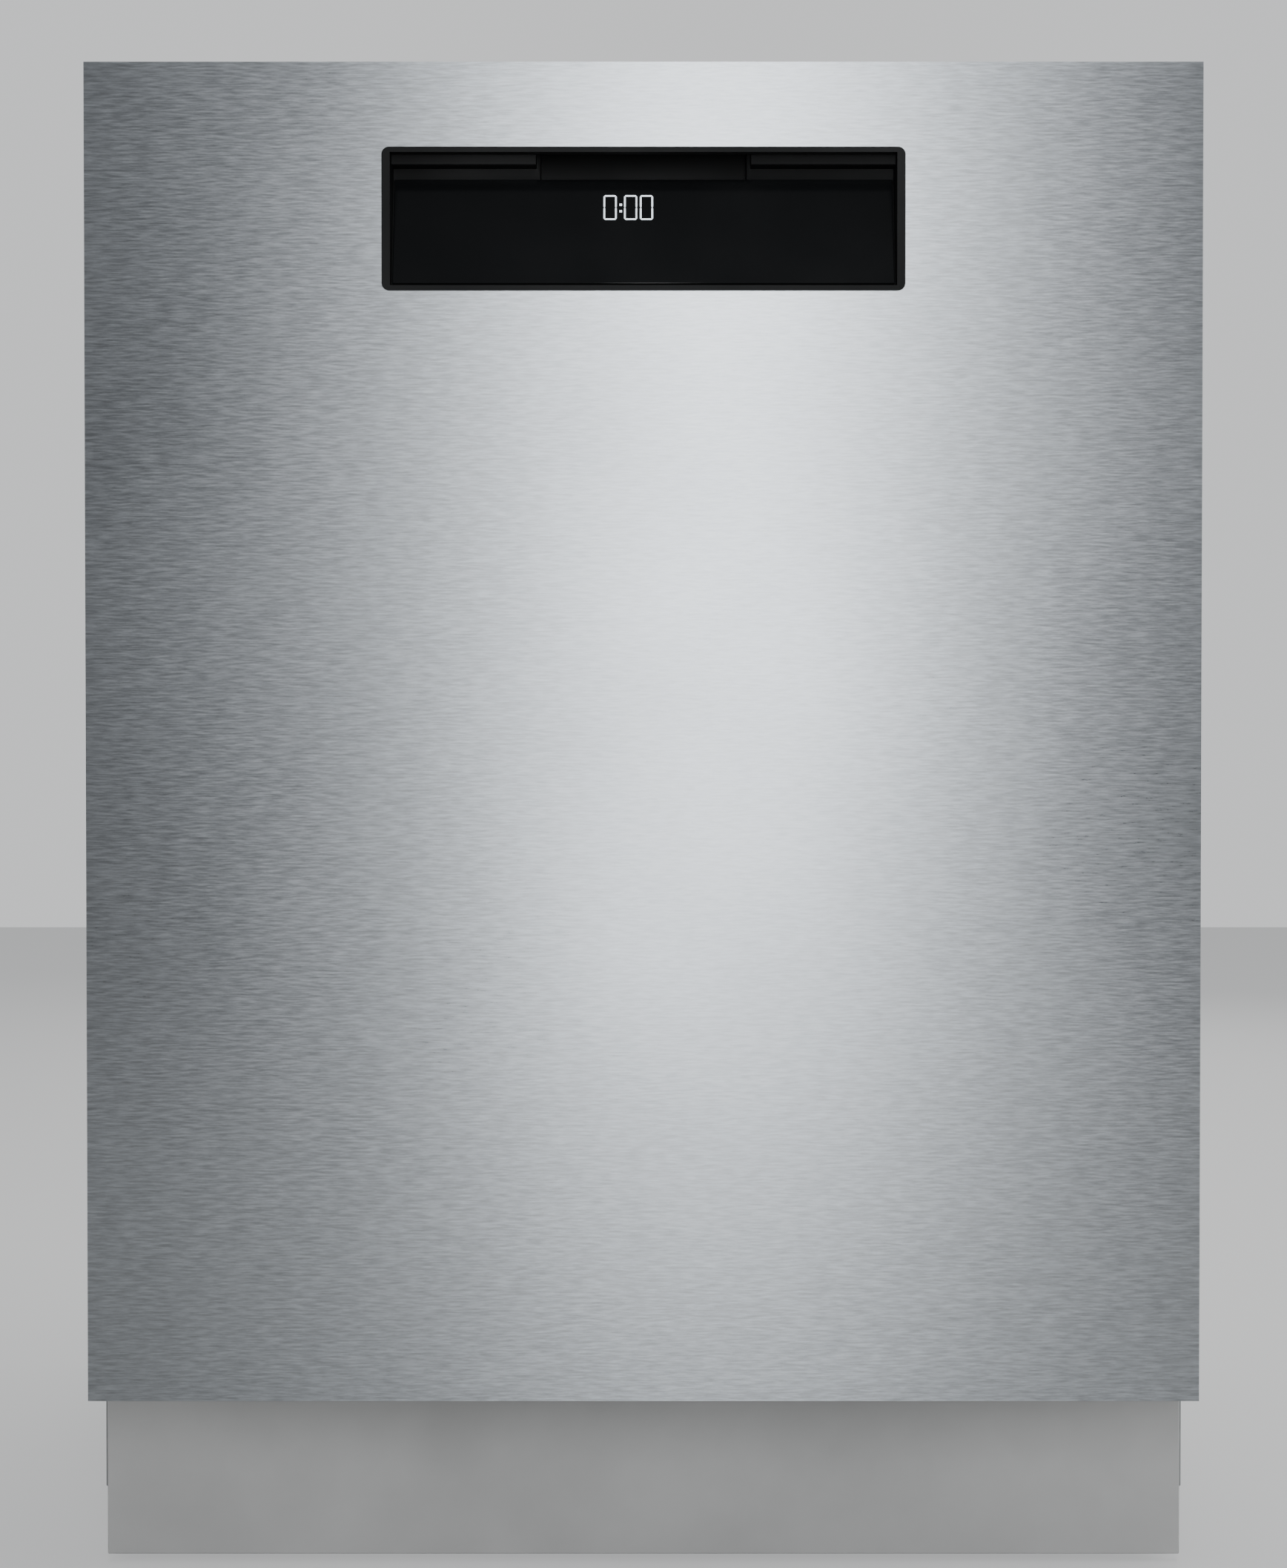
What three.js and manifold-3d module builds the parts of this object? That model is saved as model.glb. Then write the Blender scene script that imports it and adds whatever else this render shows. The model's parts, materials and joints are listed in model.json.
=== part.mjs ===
// Built-under dishwasher, 60 cm wide: a stainless tub on a plastic base, a bottom-hinged door
// with a pocket handle and display, two wire racks, three spray arms and the wash hydraulics.
// Millimetres, +Z up. The origin is on the floor, at the middle of the machine's plan.
// The door faces -Y. Depths are given from the front face, and at(depth) turns one into Y.

import * as THREE from 'three';
import { mergeVertices } from 'three/addons/utils/BufferGeometryUtils.js';
import Module from 'manifold-3d';

const wasm = await Module();
wasm.setup();

// ---------------------------------------------------------------- driving dimensions

const WIDTH = 598;              // over the side panels
const HEIGHT = 818;             // floor to the worktop brackets, feet screwed in
const DEPTH = 570;              // door front to the hose connections
const GAP = 0.3;                // between pieces that touch
const RUNNING = 0.4;            // clearance of a piece that slides in another

const SHEET = 1.2;              // pressed stainless and galvanised sheet
const MOULDED = 3;              // wall of the base moulding

const DOOR_WIDTH = WIDTH - 4;
const DOOR_BOTTOM = 102;        // height of the door's lower edge above the floor
const DOOR_HEAD_GAP = 3;        // from the door's top edge to the top of the machine
const DOOR_THICK = 60;
const HINGE_BACK = 30;          // hinge axis behind the front face
const HINGE_UP = 23;            // hinge axis above the door's lower edge

const FACE_SET = 0.8;           // the steel face lies this far behind the pocket's rim
const FACE_SHEET = 1;
const SIDE_RETURN = 20;         // how far the face's folded edges reach back
const FOOT_RETURN = 8;

const POCKET_WIDTH = 278;
const POCKET_HEIGHT = 76;
const POCKET_DROP = 45;         // below the door's top edge
const POCKET_RIM = 2.2;
const POCKET_CORNER = 4;
const POCKET_DEEP = 38;         // back of the finger slot
const FINGER_WIDTH = 111;       // the open middle of the finger slot
const FINGER_MOUTH = 11;        // height of the slot's mouth
const FINGER_RISE = 9;          // how far the slot reaches up behind the lip
const LIP_THICK = 7;
const WINDOW_THICK = 2;
const WINDOW_FOOT = 8;          // depth of the window's lower and upper edges
const WINDOW_HEAD = 24;

const STRIP_HEIGHT = 17;        // control strip along the door's top edge
const BUTTON_LENGTH = 22;
const BUTTON_DEEP = 9;
const BUTTON_PROUD = 0.6;
const BUTTON_BODY = 9;
const BUTTON_LINE = 34;         // depth of the row of buttons

const FLANGE_AT = 64;           // depth of the tub's front flange
const FLANGE_WIDTH = 14;
const TUB_WIDTH = WIDTH - 42;
const TUB_BACK = DEPTH - 28;
const TUB_FLOOR = 150;          // top of the tub's floor
const TUB_TOP = HEIGHT - 28;
const LEDGE_RISE = 8;           // the lower rack's wheels run on the ledges
const LEDGE_WIDTH = 31;
const SILL_DROP = 20;

const BASE_BOTTOM = 26;
const BASE_BACK = DEPTH - 14;
const BASE_WIDTH = WIDTH - 10;
const KICK_AT = 57;             // depth of the kick plate's face
const KICK_BOTTOM = 4;
const KICK_TOP = DOOR_BOTTOM - 5;

const FOOT_RADIUS = 20;
const FOOT_PAD = 10;
const STUD_RADIUS = 5;
const STUD_TOP = 96;
const BOSS_RADIUS = 11;
const BOSS_TOP = 62;
const FOOT_SPREAD = WIDTH / 2 - 37;        // feet either side of the middle
const FRONT_FOOT_AT = 100;
const REAR_FOOT_AT = BASE_BACK - 36;

const ARM_THICK = 14;           // a spray arm's height
const ARM_WIDTH = 34;
const LOWER_ARM_REACH = Math.min(TUB_WIDTH / 2 - 58, (TUB_BACK - FLANGE_AT) / 2 - 19);
const UPPER_ARM_REACH = LOWER_ARM_REACH - 15;
const TOP_ARM_REACH = LOWER_ARM_REACH / 2;
const HUB_RADIUS = 24;
const POST_RADIUS = 9;
const ARM_LIFT = 18;            // lower arm above the tub's floor

const RACK_FRONT = 90;          // depth of both racks' front wires
const RACK_DEEP = TUB_BACK - 118;
const LOWER_RACK_WIDTH = TUB_WIDTH - 70;
const LOWER_RACK_Z = TUB_FLOOR + 58;   // centre of the lower rack's floor wires
const LOWER_RACK_TALL = 120;
const UPPER_RACK_WIDTH = TUB_WIDTH - 56;
const UPPER_RACK_Z = TUB_FLOOR + (TUB_TOP - TUB_FLOOR) * 0.5375;
const UPPER_RACK_TALL = 95;
const WIRE = 4;
const WHEEL_RADIUS = 17;
const WHEEL_WIDTH = 14;
const WHEEL_INSET = 130;        // front and rear wheels from the rack's ends

const FILTER = { x: 95, y: -42, cup: 35, ring: 40, bowl: 44 };
const SALT = { x: 112 - FOOT_SPREAD, y: 88, neck: 24, cap: 31 };

// ---------------------------------------------------------------- worked-out places

const at = (depth) => depth - DEPTH / 2;
const doorTop = HEIGHT - DOOR_HEAD_GAP;
const hingeZ = DOOR_BOTTOM + HINGE_UP;
const faceBack = FACE_SET + FACE_SHEET;
const tubHalf = TUB_WIDTH / 2;
const tubInner = tubHalf - SHEET;
const tubMiddle = (FLANGE_AT + TUB_BACK) / 2;
const ceiling = TUB_TOP - SHEET;
const flangeHalf = tubHalf + FLANGE_WIDTH;
const flangeTop = TUB_TOP + FLANGE_WIDTH - 1;
const coverTop = HEIGHT - 4.5;
const panelIn = WIDTH / 2 - SHEET;
const wheelX = LOWER_RACK_WIDTH / 2 + 6 + WHEEL_WIDTH / 2;

// ---------------------------------------------------------------- solid helpers

// A closed three.js geometry as a manifold-3d solid.
function solid(geometry) {
  const bare = geometry.clone();
  bare.deleteAttribute('normal');
  bare.deleteAttribute('uv');
  const merged = mergeVertices(bare, 1e-4);
  return new wasm.Manifold(new wasm.Mesh({
    numProp: 3,
    vertProperties: new Float32Array(merged.attributes.position.array),
    triVerts: new Uint32Array(merged.index.array),
  }));
}

// A solid's faces as a three.js geometry.
function geometryOf(body) {
  const mesh = body.getMesh();
  const indexed = new THREE.BufferGeometry();
  indexed.setAttribute('position', new THREE.BufferAttribute(new Float32Array(mesh.vertProperties), 3));
  indexed.setIndex(new THREE.BufferAttribute(new Uint32Array(mesh.triVerts), 1));
  const faceted = indexed.toNonIndexed();
  faceted.computeVertexNormals();
  return faceted;
}

const join = (...parts) => parts.flat().reduce((whole, part) => whole.add(part));
const cut = (whole, ...tools) => tools.flat().reduce((rest, tool) => rest.subtract(tool), whole);

// A box from its low and high X, Y and Z.
function box([x0, x1], [y0, y1], [z0, z1]) {
  const block = new THREE.BoxGeometry(x1 - x0, y1 - y0, z1 - z0);
  return solid(block.translate((x0 + x1) / 2, (y0 + y1) / 2, (z0 + z1) / 2));
}

// A box given by its depths behind the front face.
const deepBox = (x, [d0, d1], z) => box(x, [at(d0), at(d1)], z);

// The same box on the right (side 1) or left (side -1); x runs outwards from the middle.
function sideBox(side, [inner, outer], depths, z) {
  return deepBox(side > 0 ? [inner, outer] : [-outer, -inner], depths, z);
}

// A round bar between two points.
function bar(radius, from, to, sides = 16) {
  const a = new THREE.Vector3(...from);
  const b = new THREE.Vector3(...to);
  const along = b.clone().sub(a);
  const turn = new THREE.Quaternion().setFromUnitVectors(new THREE.Vector3(0, 1, 0),
      along.clone().normalize());
  const round = new THREE.CylinderGeometry(radius, radius, along.length(), sides);
  return solid(round.applyQuaternion(turn).translate(...a.add(b).multiplyScalar(0.5).toArray()));
}

// A rounded rectangle in X and Z, extruded over a range of depths.
function roundedPlate(width, z0, z1, corner, [d0, d1]) {
  const outline = new THREE.Shape();
  const half = width / 2;
  outline.moveTo(-half + corner, z0);
  outline.absarc(half - corner, z0 + corner, corner, -Math.PI / 2, 0);
  outline.absarc(half - corner, z1 - corner, corner, 0, Math.PI / 2);
  outline.absarc(-half + corner, z1 - corner, corner, Math.PI / 2, Math.PI);
  outline.absarc(-half + corner, z0 + corner, corner, Math.PI, Math.PI * 1.5);
  const plate = new THREE.ExtrudeGeometry(outline, { depth: d1 - d0, bevelEnabled: false, curveSegments: 4 });
  return solid(plate.rotateX(Math.PI / 2).translate(0, at(d1), 0));
}

// A side profile of [depth, z] points, extruded across X.
function acrossProfile(points, [x0, x1]) {
  const outline = new THREE.Shape(points.map(([depth, z]) => new THREE.Vector2(at(depth), z)));
  const prism = new THREE.ExtrudeGeometry(outline, { depth: x1 - x0, bevelEnabled: false });
  const turn = new THREE.Matrix4().makeBasis(
    new THREE.Vector3(0, 1, 0), new THREE.Vector3(0, 0, 1), new THREE.Vector3(1, 0, 0));
  return solid(prism.applyMatrix4(turn).translate(x0, 0, 0));
}

// ---------------------------------------------------------------- materials

const finish = (color, roughness, metalness) =>
  new THREE.MeshStandardMaterial({ color, roughness, metalness });
const brushedSteel = finish(0xa6abb0, 0.34, 1);
const tubSteel = finish(0xb9bcbe, 0.22, 1);
const galvanised = finish(0x9ea2a4, 0.5, 0.9);
const blackPlastic = finish(0x141517, 0.4, 0);
const blackGlass = finish(0x0b0c0e, 0.06, 0);
const greyPlastic = finish(0x8d9194, 0.5, 0);
const paleEnamel = finish(0xe6e5e3, 0.4, 0);
const whitePlastic = finish(0xdfe0de, 0.45, 0);
const rubber = finish(0x2a2b2d, 0.8, 0);
const rackWire = finish(0x8f9498, 0.35, 0.1);
const springSteel = finish(0x8a8d90, 0.35, 1);

const dishwasher = new THREE.Group();

// Adds a solid to a group as one named mesh.
function add(group, name, material, body, position = [0, 0, 0]) {
  const mesh = new THREE.Mesh(geometryOf(body), material);
  mesh.name = name;
  mesh.position.set(...position);
  group.add(mesh);
  return mesh;
}

const sides = [['left', -1], ['right', 1]];

// ---------------------------------------------------------------- base, feet and kick plate

const baseHalf = BASE_WIDTH / 2;
const baseTop = TUB_FLOOR - SHEET - 2.8;
const feetAt = [
  ['front_left_foot', -FOOT_SPREAD, FRONT_FOOT_AT],
  ['front_right_foot', FOOT_SPREAD, FRONT_FOOT_AT],
  ['rear_left_foot', -FOOT_SPREAD, REAR_FOOT_AT],
  ['rear_right_foot', FOOT_SPREAD, REAR_FOOT_AT],
];

const BRACKET = {
  in: BASE_WIDTH / 2 - 11, out: BASE_WIDTH / 2 - 7.5, front: 22, back: 130, low: KICK_TOP + 10,
      high: hingeZ + 15,
};
const VALVE_X = 36 - FOOT_SPREAD;
const OUTLET_X = FOOT_SPREAD - 32;
const OUTLET_Z = 80;
const VALVE_THREAD = 13;
const OUTLET_RADIUS = 10;

function baseTray() {
  const shell = cut(
    deepBox([-baseHalf, baseHalf], [FLANGE_AT, BASE_BACK], [BASE_BOTTOM, baseTop]),
    deepBox([-baseHalf + MOULDED, baseHalf - MOULDED], [FLANGE_AT + MOULDED, BASE_BACK - MOULDED],
      [BASE_BOTTOM + MOULDED, baseTop + 1]));
  const bosses = feetAt.map(([, x, depth]) => bar(BOSS_RADIUS, [x, at(depth), BASE_BOTTOM + 1],
      [x, at(depth), BOSS_TOP], 12));
  const bore = STUD_RADIUS + 2 * RUNNING;
  const bores = feetAt.map(([, x, depth]) => bar(bore, [x, at(depth), 0], [x, at(depth), BOSS_TOP + 1], 8));
  const hingeNotches = sides.map(([, side]) => sideBox(side, [BRACKET.in - 2, BRACKET.out + 2],
    [FLANGE_AT - 1, FLANGE_AT + MOULDED + 1], [KICK_TOP + 1, baseTop + 1]));
  const connections = [
    bar(VALVE_THREAD + 1, [VALVE_X, at(BASE_BACK - 8), OUTLET_Z], [VALVE_X, at(BASE_BACK + 8), OUTLET_Z], 12),
    bar(OUTLET_RADIUS + 1, [OUTLET_X, at(BASE_BACK - 8), OUTLET_Z], [OUTLET_X, at(BASE_BACK + 8), OUTLET_Z],
        12),
  ];
  const sillStep = deepBox([-tubHalf, tubHalf], [FLANGE_AT - 1, FLANGE_AT + SHEET + GAP],
    [TUB_FLOOR - SILL_DROP - GAP, baseTop + 1]);
  return cut(join(shell, bosses), bores, hingeNotches, connections, sillStep);
}

// A foot in its own frame: the pad stands on z = 0 and the stud rises from it.
function foot() {
  return join(bar(FOOT_RADIUS, [0, 0, 0], [0, 0, FOOT_PAD], 20),
      bar(STUD_RADIUS, [0, 0, FOOT_PAD - 1], [0, 0, STUD_TOP], 8));
}

function kickPlate() {
  const half = WIDTH / 2 - 2;
  const reach = FLANGE_AT - GAP;
  return join(
    deepBox([-half, half], [KICK_AT, KICK_AT + SHEET], [KICK_BOTTOM, KICK_TOP]),
    deepBox([-half, half], [KICK_AT, reach], [KICK_TOP - SHEET, KICK_TOP]),
    sides.map(([, side]) => sideBox(side, [half - SHEET, half], [KICK_AT, reach], [KICK_BOTTOM, KICK_TOP])));
}

add(dishwasher, 'base_tray', blackPlastic, baseTray());
add(dishwasher, 'kick_plate', paleEnamel, kickPlate());
for (const [name, x, depth] of feetAt) add(dishwasher, name, blackPlastic, foot(), [x, at(depth), 0]);

// ---------------------------------------------------------------- tub, gasket and casing

const armHub = { x: 0, y: at(tubMiddle) };

function tub() {
  const walls = cut(
    deepBox([-tubHalf, tubHalf], [FLANGE_AT, TUB_BACK], [TUB_FLOOR - SHEET, TUB_TOP]),
    deepBox([-tubInner, tubInner], [FLANGE_AT - 5, TUB_BACK - SHEET], [TUB_FLOOR, ceiling]));
  const flange = cut(
    deepBox([-flangeHalf, flangeHalf], [FLANGE_AT, FLANGE_AT + SHEET], [TUB_FLOOR + 6, flangeTop]),
    deepBox([-tubInner, tubInner], [FLANGE_AT - 5, FLANGE_AT + 5], [TUB_FLOOR, ceiling]));
  const sill = deepBox([-tubHalf + 2, tubHalf - 2], [FLANGE_AT, FLANGE_AT + SHEET],
    [TUB_FLOOR - SILL_DROP, TUB_FLOOR - SHEET / 2]);
  const ledges = sides.map(([, side]) => sideBox(side, [tubInner - LEDGE_WIDTH, tubInner + SHEET / 2],
    [FLANGE_AT + 10, TUB_BACK - 20], [TUB_FLOOR - SHEET / 2, TUB_FLOOR + LEDGE_RISE]));
  const floorHole = (x, y, radius) => bar(radius, [x, y, TUB_FLOOR - 5], [x, y, TUB_FLOOR + 2], 20);
  return cut(join(walls, flange, sill, ledges),
    floorHole(FILTER.x, FILTER.y, FILTER.bowl - 2),
    floorHole(armHub.x, armHub.y, POST_RADIUS + 2),
    floorHole(SALT.x, SALT.y, SALT.neck + 2));
}

// The rubber seal round the sides and top of the tub's mouth.
function tubGasket() {
  const outer = flangeHalf - 1;
  const inner = tubHalf + 1;
  const depths = [DOOR_THICK + RUNNING, FLANGE_AT - GAP];
  return cut(
    deepBox([-outer, outer], depths, [TUB_FLOOR + 8, flangeTop - 1]),
    deepBox([-inner, inner], [DOOR_THICK - 1, FLANGE_AT + 1], [TUB_FLOOR, TUB_TOP + 1]));
}

function sidePanel(side) {
  return join(
    sideBox(side, [panelIn, WIDTH / 2], [FLANGE_AT, BASE_BACK + 4], [40, coverTop - SHEET - GAP]),
    sideBox(side, [flangeHalf + GAP, WIDTH / 2], [FLANGE_AT, FLANGE_AT + SHEET],
        [TUB_FLOOR + 6, coverTop - SHEET - GAP]));
}

const BRACKET_TAB = { x: 200, half: 20, front: 70, back: 100 };

function topCover() {
  const half = WIDTH / 2 - 1;
  const crossbar = deepBox([-tubHalf, tubHalf], [FLANGE_AT + 3, FLANGE_AT + 33], [flangeTop + GAP, coverTop]);
  const tabs = sides.map(([, side]) => sideBox(side, [BRACKET_TAB.x - BRACKET_TAB.half,
      BRACKET_TAB.x + BRACKET_TAB.half],
    [BRACKET_TAB.front, BRACKET_TAB.back], [coverTop - SHEET, HEIGHT]));
  return join(deepBox([-half, half], [FLANGE_AT + 1, BASE_BACK + 4], [coverTop - SHEET, coverTop]),
      crossbar, tabs);
}

function rearCover() {
  return deepBox([-panelIn + GAP, panelIn - GAP], [BASE_BACK + 4 - SHEET, BASE_BACK + 4],
      [baseTop + 2, coverTop - SHEET - GAP]);
}

add(dishwasher, 'tub', tubSteel, tub());
add(dishwasher, 'tub_gasket', rubber, tubGasket());
for (const [name, side] of sides) add(dishwasher, `${name}_side_panel`, galvanised, sidePanel(side));
add(dishwasher, 'top_cover', galvanised, topCover());
add(dishwasher, 'rear_cover', galvanised, rearCover());

// ---------------------------------------------------------------- hydraulics in the base

function sump() {
  const bowlTop = TUB_FLOOR - SHEET - GAP;
  const bowl = bar(FILTER.bowl + 4, [FILTER.x, FILTER.y, 84], [FILTER.x, FILTER.y, bowlTop], 20);
  const channel = bar(20, [FILTER.x, FILTER.y, 112], [armHub.x, armHub.y, 112], 12);
  const hub = bar(24, [armHub.x, armHub.y, 92], [armHub.x, armHub.y, bowlTop], 16);
  const post = bar(POST_RADIUS, [armHub.x, armHub.y, 120], [armHub.x, armHub.y, TUB_FLOOR + ARM_LIFT - GAP],
      12);
  const hollow = bar(FILTER.bowl, [FILTER.x, FILTER.y, 88], [FILTER.x, FILTER.y, TUB_FLOOR], 20);
  return cut(join(bowl, channel, hub, post), hollow);
}

const PLATE_RADIUS = 78;
const PLATE_THICK = 1.5;

function coarseFilter() {
  const low = TUB_FLOOR + GAP;
  return cut(
    bar(PLATE_RADIUS, [FILTER.x, FILTER.y, low], [FILTER.x, FILTER.y, low + PLATE_THICK], 28),
    bar(FILTER.cup + 2, [FILTER.x, FILTER.y, low - 1], [FILTER.x, FILTER.y, low + PLATE_THICK + 1], 20));
}

// The filter cup in its own frame, on its own axis, with z = 0 at the tub's floor.
function microFilter() {
  const seat = GAP + PLATE_THICK + GAP;
  const cup = cut(
    join(bar(FILTER.cup, [0, 0, -50], [0, 0, seat + 1], 20),
        bar(FILTER.ring, [0, 0, seat], [0, 0, seat + 4], 20)),
    bar(FILTER.cup - 3, [0, 0, -46], [0, 0, seat + 5], 20));
  return join(cup, box([-FILTER.cup, FILTER.cup], [-2, 2], [seat, seat + 11]));
}

function softenerTank() {
  const floor = 60;
  const roof = 138;
  const wide = [SALT.x - 78, SALT.x + 72];
  const deep = [SALT.y - 62, SALT.y + 62];
  const inset = ([low, high]) => [low + MOULDED, high - MOULDED];
  return cut(
    join(box(wide, deep, [floor, roof]), bar(SALT.neck, [SALT.x, SALT.y, roof - 1],
        [SALT.x, SALT.y, TUB_FLOOR + GAP], 16)),
    box(inset(wide), inset(deep), [floor + MOULDED, roof - MOULDED]),
    bar(SALT.neck - 4, [SALT.x, SALT.y, roof - 10], [SALT.x, SALT.y, TUB_FLOOR + 2], 16));
}

// The salt cap in its own frame: a ribbed screw cap with z = 0 at the tub's floor.
function saltCap() {
  const low = 2 * GAP;
  return join(bar(SALT.cap, [0, 0, low], [0, 0, low + 7], 20), box([-22, 22], [-4, 4], [low + 6, low + 13]));
}

const SPRING_X = BASE_WIDTH / 2 - 52;

function circulationPump() {
  const y = at(tubMiddle + 87);
  const x = FOOT_SPREAD - 222;
  const z = 76;
  return join(
    bar(36, [x + 30, y, z], [x + 150, y, z], 16),
    bar(46, [x, y, z], [x + 32, y, z], 20),
    bar(13, [x + 16, y - 70, z], [x + 16, y - 30, z], 12));
}

function drainPump() {
  const x = SPRING_X - 47;
  const z = 76;
  return join(
    bar(24, [x, at(110), z], [x, at(170), z], 14),
    bar(30, [x, at(168), z], [x, at(196), z], 14),
    bar(8, [x - 45, at(182), z], [x - 5, at(182), z], 10));
}

function waterInletValve() {
  return join(
    deepBox([VALVE_X - 22, VALVE_X + 22], [BASE_BACK - 51, BASE_BACK - 11], [58, 108]),
    bar(VALVE_THREAD, [VALVE_X, at(BASE_BACK - 16), OUTLET_Z], [VALVE_X, at(DEPTH), OUTLET_Z], 16));
}

function drainOutlet() {
  return join(
    deepBox([OUTLET_X - 16, OUTLET_X + 16], [BASE_BACK - 26, BASE_BACK - 9], [62, 98]),
    bar(OUTLET_RADIUS, [OUTLET_X, at(BASE_BACK - 16), OUTLET_Z], [OUTLET_X, at(DEPTH), OUTLET_Z], 12));
}

const airBreak = () => deepBox([-panelIn + 2, -tubHalf - 2], [150, TUB_BACK - 122], [250, TUB_TOP - 140]);

const PIPE = { half: 13, thick: 12 };

// The riser up the tub's rear wall, with the upper rack's docking spout and the ceiling branch.
function sprayFeedPipe() {
  const back = TUB_BACK - SHEET - GAP;
  const roof = ceiling - GAP;
  const dock = UPPER_RACK_Z - 6.5;
  return join(
    deepBox([-PIPE.half, PIPE.half], [back - PIPE.thick, back], [TUB_FLOOR + GAP, roof]),
    deepBox([-PIPE.half, PIPE.half], [tubMiddle - PIPE.half, back], [roof - 9, roof]),
    bar(6, [0, at(back - 5), dock], [0, at(back - 24), dock], 12),
    bar(POST_RADIUS, [0, armHub.y, roof - 5], [0, armHub.y, roof - 14], 12));
}

add(dishwasher, 'sump', blackPlastic, sump());
add(dishwasher, 'coarse_filter', tubSteel, coarseFilter());
add(dishwasher, 'micro_filter', greyPlastic, microFilter(), [FILTER.x, FILTER.y, TUB_FLOOR]);
add(dishwasher, 'softener_tank', whitePlastic, softenerTank());
add(dishwasher, 'salt_cap', greyPlastic, saltCap(), [SALT.x, SALT.y, TUB_FLOOR]);
add(dishwasher, 'circulation_pump', blackPlastic, circulationPump());
add(dishwasher, 'drain_pump', blackPlastic, drainPump());
add(dishwasher, 'water_inlet_valve', whitePlastic, waterInletValve());
add(dishwasher, 'drain_outlet', greyPlastic, drainOutlet());
add(dishwasher, 'air_break', whitePlastic, airBreak());
add(dishwasher, 'spray_feed_pipe', greyPlastic, sprayFeedPipe());

// ---------------------------------------------------------------- spray arms

// A two-bladed arm in its own frame, on its own axis, from z = 0 up. The hub's bore takes the post.
function sprayArm(reach) {
  const blade = new THREE.Shape();
  const tip = ARM_WIDTH / 2 - 4;
  blade.moveTo(-reach + tip, -tip);
  blade.lineTo(-HUB_RADIUS, -ARM_WIDTH / 2);
  blade.lineTo(HUB_RADIUS, -ARM_WIDTH / 2);
  blade.lineTo(reach - tip, -tip);
  blade.absarc(reach - tip, 0, tip, -Math.PI / 2, Math.PI / 2);
  blade.lineTo(HUB_RADIUS, ARM_WIDTH / 2);
  blade.lineTo(-HUB_RADIUS, ARM_WIDTH / 2);
  blade.lineTo(-reach + tip, tip);
  blade.absarc(-reach + tip, 0, tip, Math.PI / 2, Math.PI * 1.5);
  const plate = new THREE.ExtrudeGeometry(blade, { depth: ARM_THICK, bevelEnabled: false, curveSegments: 5 });
  return join(solid(plate), bar(HUB_RADIUS, [0, 0, 0], [0, 0, ARM_THICK + 3], 20));
}

add(dishwasher, 'lower_spray_arm', greyPlastic, sprayArm(LOWER_ARM_REACH),
    [armHub.x, armHub.y, TUB_FLOOR + ARM_LIFT]);
const topArm = add(dishwasher, 'ceiling_sprayer', greyPlastic, sprayArm(TOP_ARM_REACH),
  [armHub.x, armHub.y, ceiling - GAP - 14 - GAP]);
topArm.rotation.x = Math.PI;

// ---------------------------------------------------------------- door hinges, springs and strike

const PIN_RADIUS = 4;
const HINGE_ARM = { in: DOOR_WIDTH / 2 - 20, out: DOOR_WIDTH / 2 - 17, low: DOOR_BOTTOM + 8, high: 330,
    front: 24, back: 44 };

function hingeBracket(side) {
  const plate = sideBox(side, [BRACKET.in, BRACKET.out], [BRACKET.front, BRACKET.back],
      [BRACKET.low, BRACKET.high]);
  const lug = sideBox(side, [BRACKET.out - 1, baseHalf - MOULDED - GAP], [FLANGE_AT + 12, BRACKET.back],
      [BRACKET.low, BRACKET.high]);
  const pin = bar(PIN_RADIUS, [side * (HINGE_ARM.in - 2), at(HINGE_BACK), hingeZ],
      [side * (BRACKET.in + 1), at(HINGE_BACK), hingeZ], 12);
  return join(plate, lug, pin);
}

function hingeArm(side) {
  return cut(
    sideBox(side, [HINGE_ARM.in, HINGE_ARM.out], [HINGE_ARM.front, HINGE_ARM.back],
        [HINGE_ARM.low, HINGE_ARM.high]),
    bar(PIN_RADIUS + RUNNING + 0.2, [side * (HINGE_ARM.in - 1), at(HINGE_BACK), hingeZ],
      [side * (HINGE_ARM.out + 1), at(HINGE_BACK), hingeZ], 12));
}

const doorSpring = (side) => bar(8, [side * SPRING_X, at(140), 112], [side * SPRING_X, at(380), 112], 12);

const STRIKE = { half: 7, low: flangeTop + 2.3, high: flangeTop + 5.3, tip: 42 };

function doorStrike() {
  return join(
    deepBox([-STRIKE.half, STRIKE.half], [STRIKE.tip, FLANGE_AT + 1], [STRIKE.low, STRIKE.high]),
    deepBox([-2 * STRIKE.half, 2 * STRIKE.half], [FLANGE_AT, FLANGE_AT + 2.5],
        [flangeTop + 1, coverTop - SHEET - 1]));
}

for (const [name, side] of sides) {
  add(dishwasher, `${name}_hinge_bracket`, galvanised, hingeBracket(side));
  add(dishwasher, `${name}_door_spring`, springSteel, doorSpring(side));
}
add(dishwasher, 'door_strike', galvanised, doorStrike());

// ---------------------------------------------------------------- door

const door = new THREE.Group();
dishwasher.add(door);

const pocketTop = doorTop - POCKET_DROP;
const pocketBottom = pocketTop - POCKET_HEIGHT;
const pocketCeiling = pocketTop - POCKET_RIM;
const pocketFloor = pocketBottom + POCKET_RIM;
const windowHead = pocketCeiling - FINGER_MOUTH;
const stripBottom = doorTop - 1 - STRIP_HEIGHT;

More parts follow.
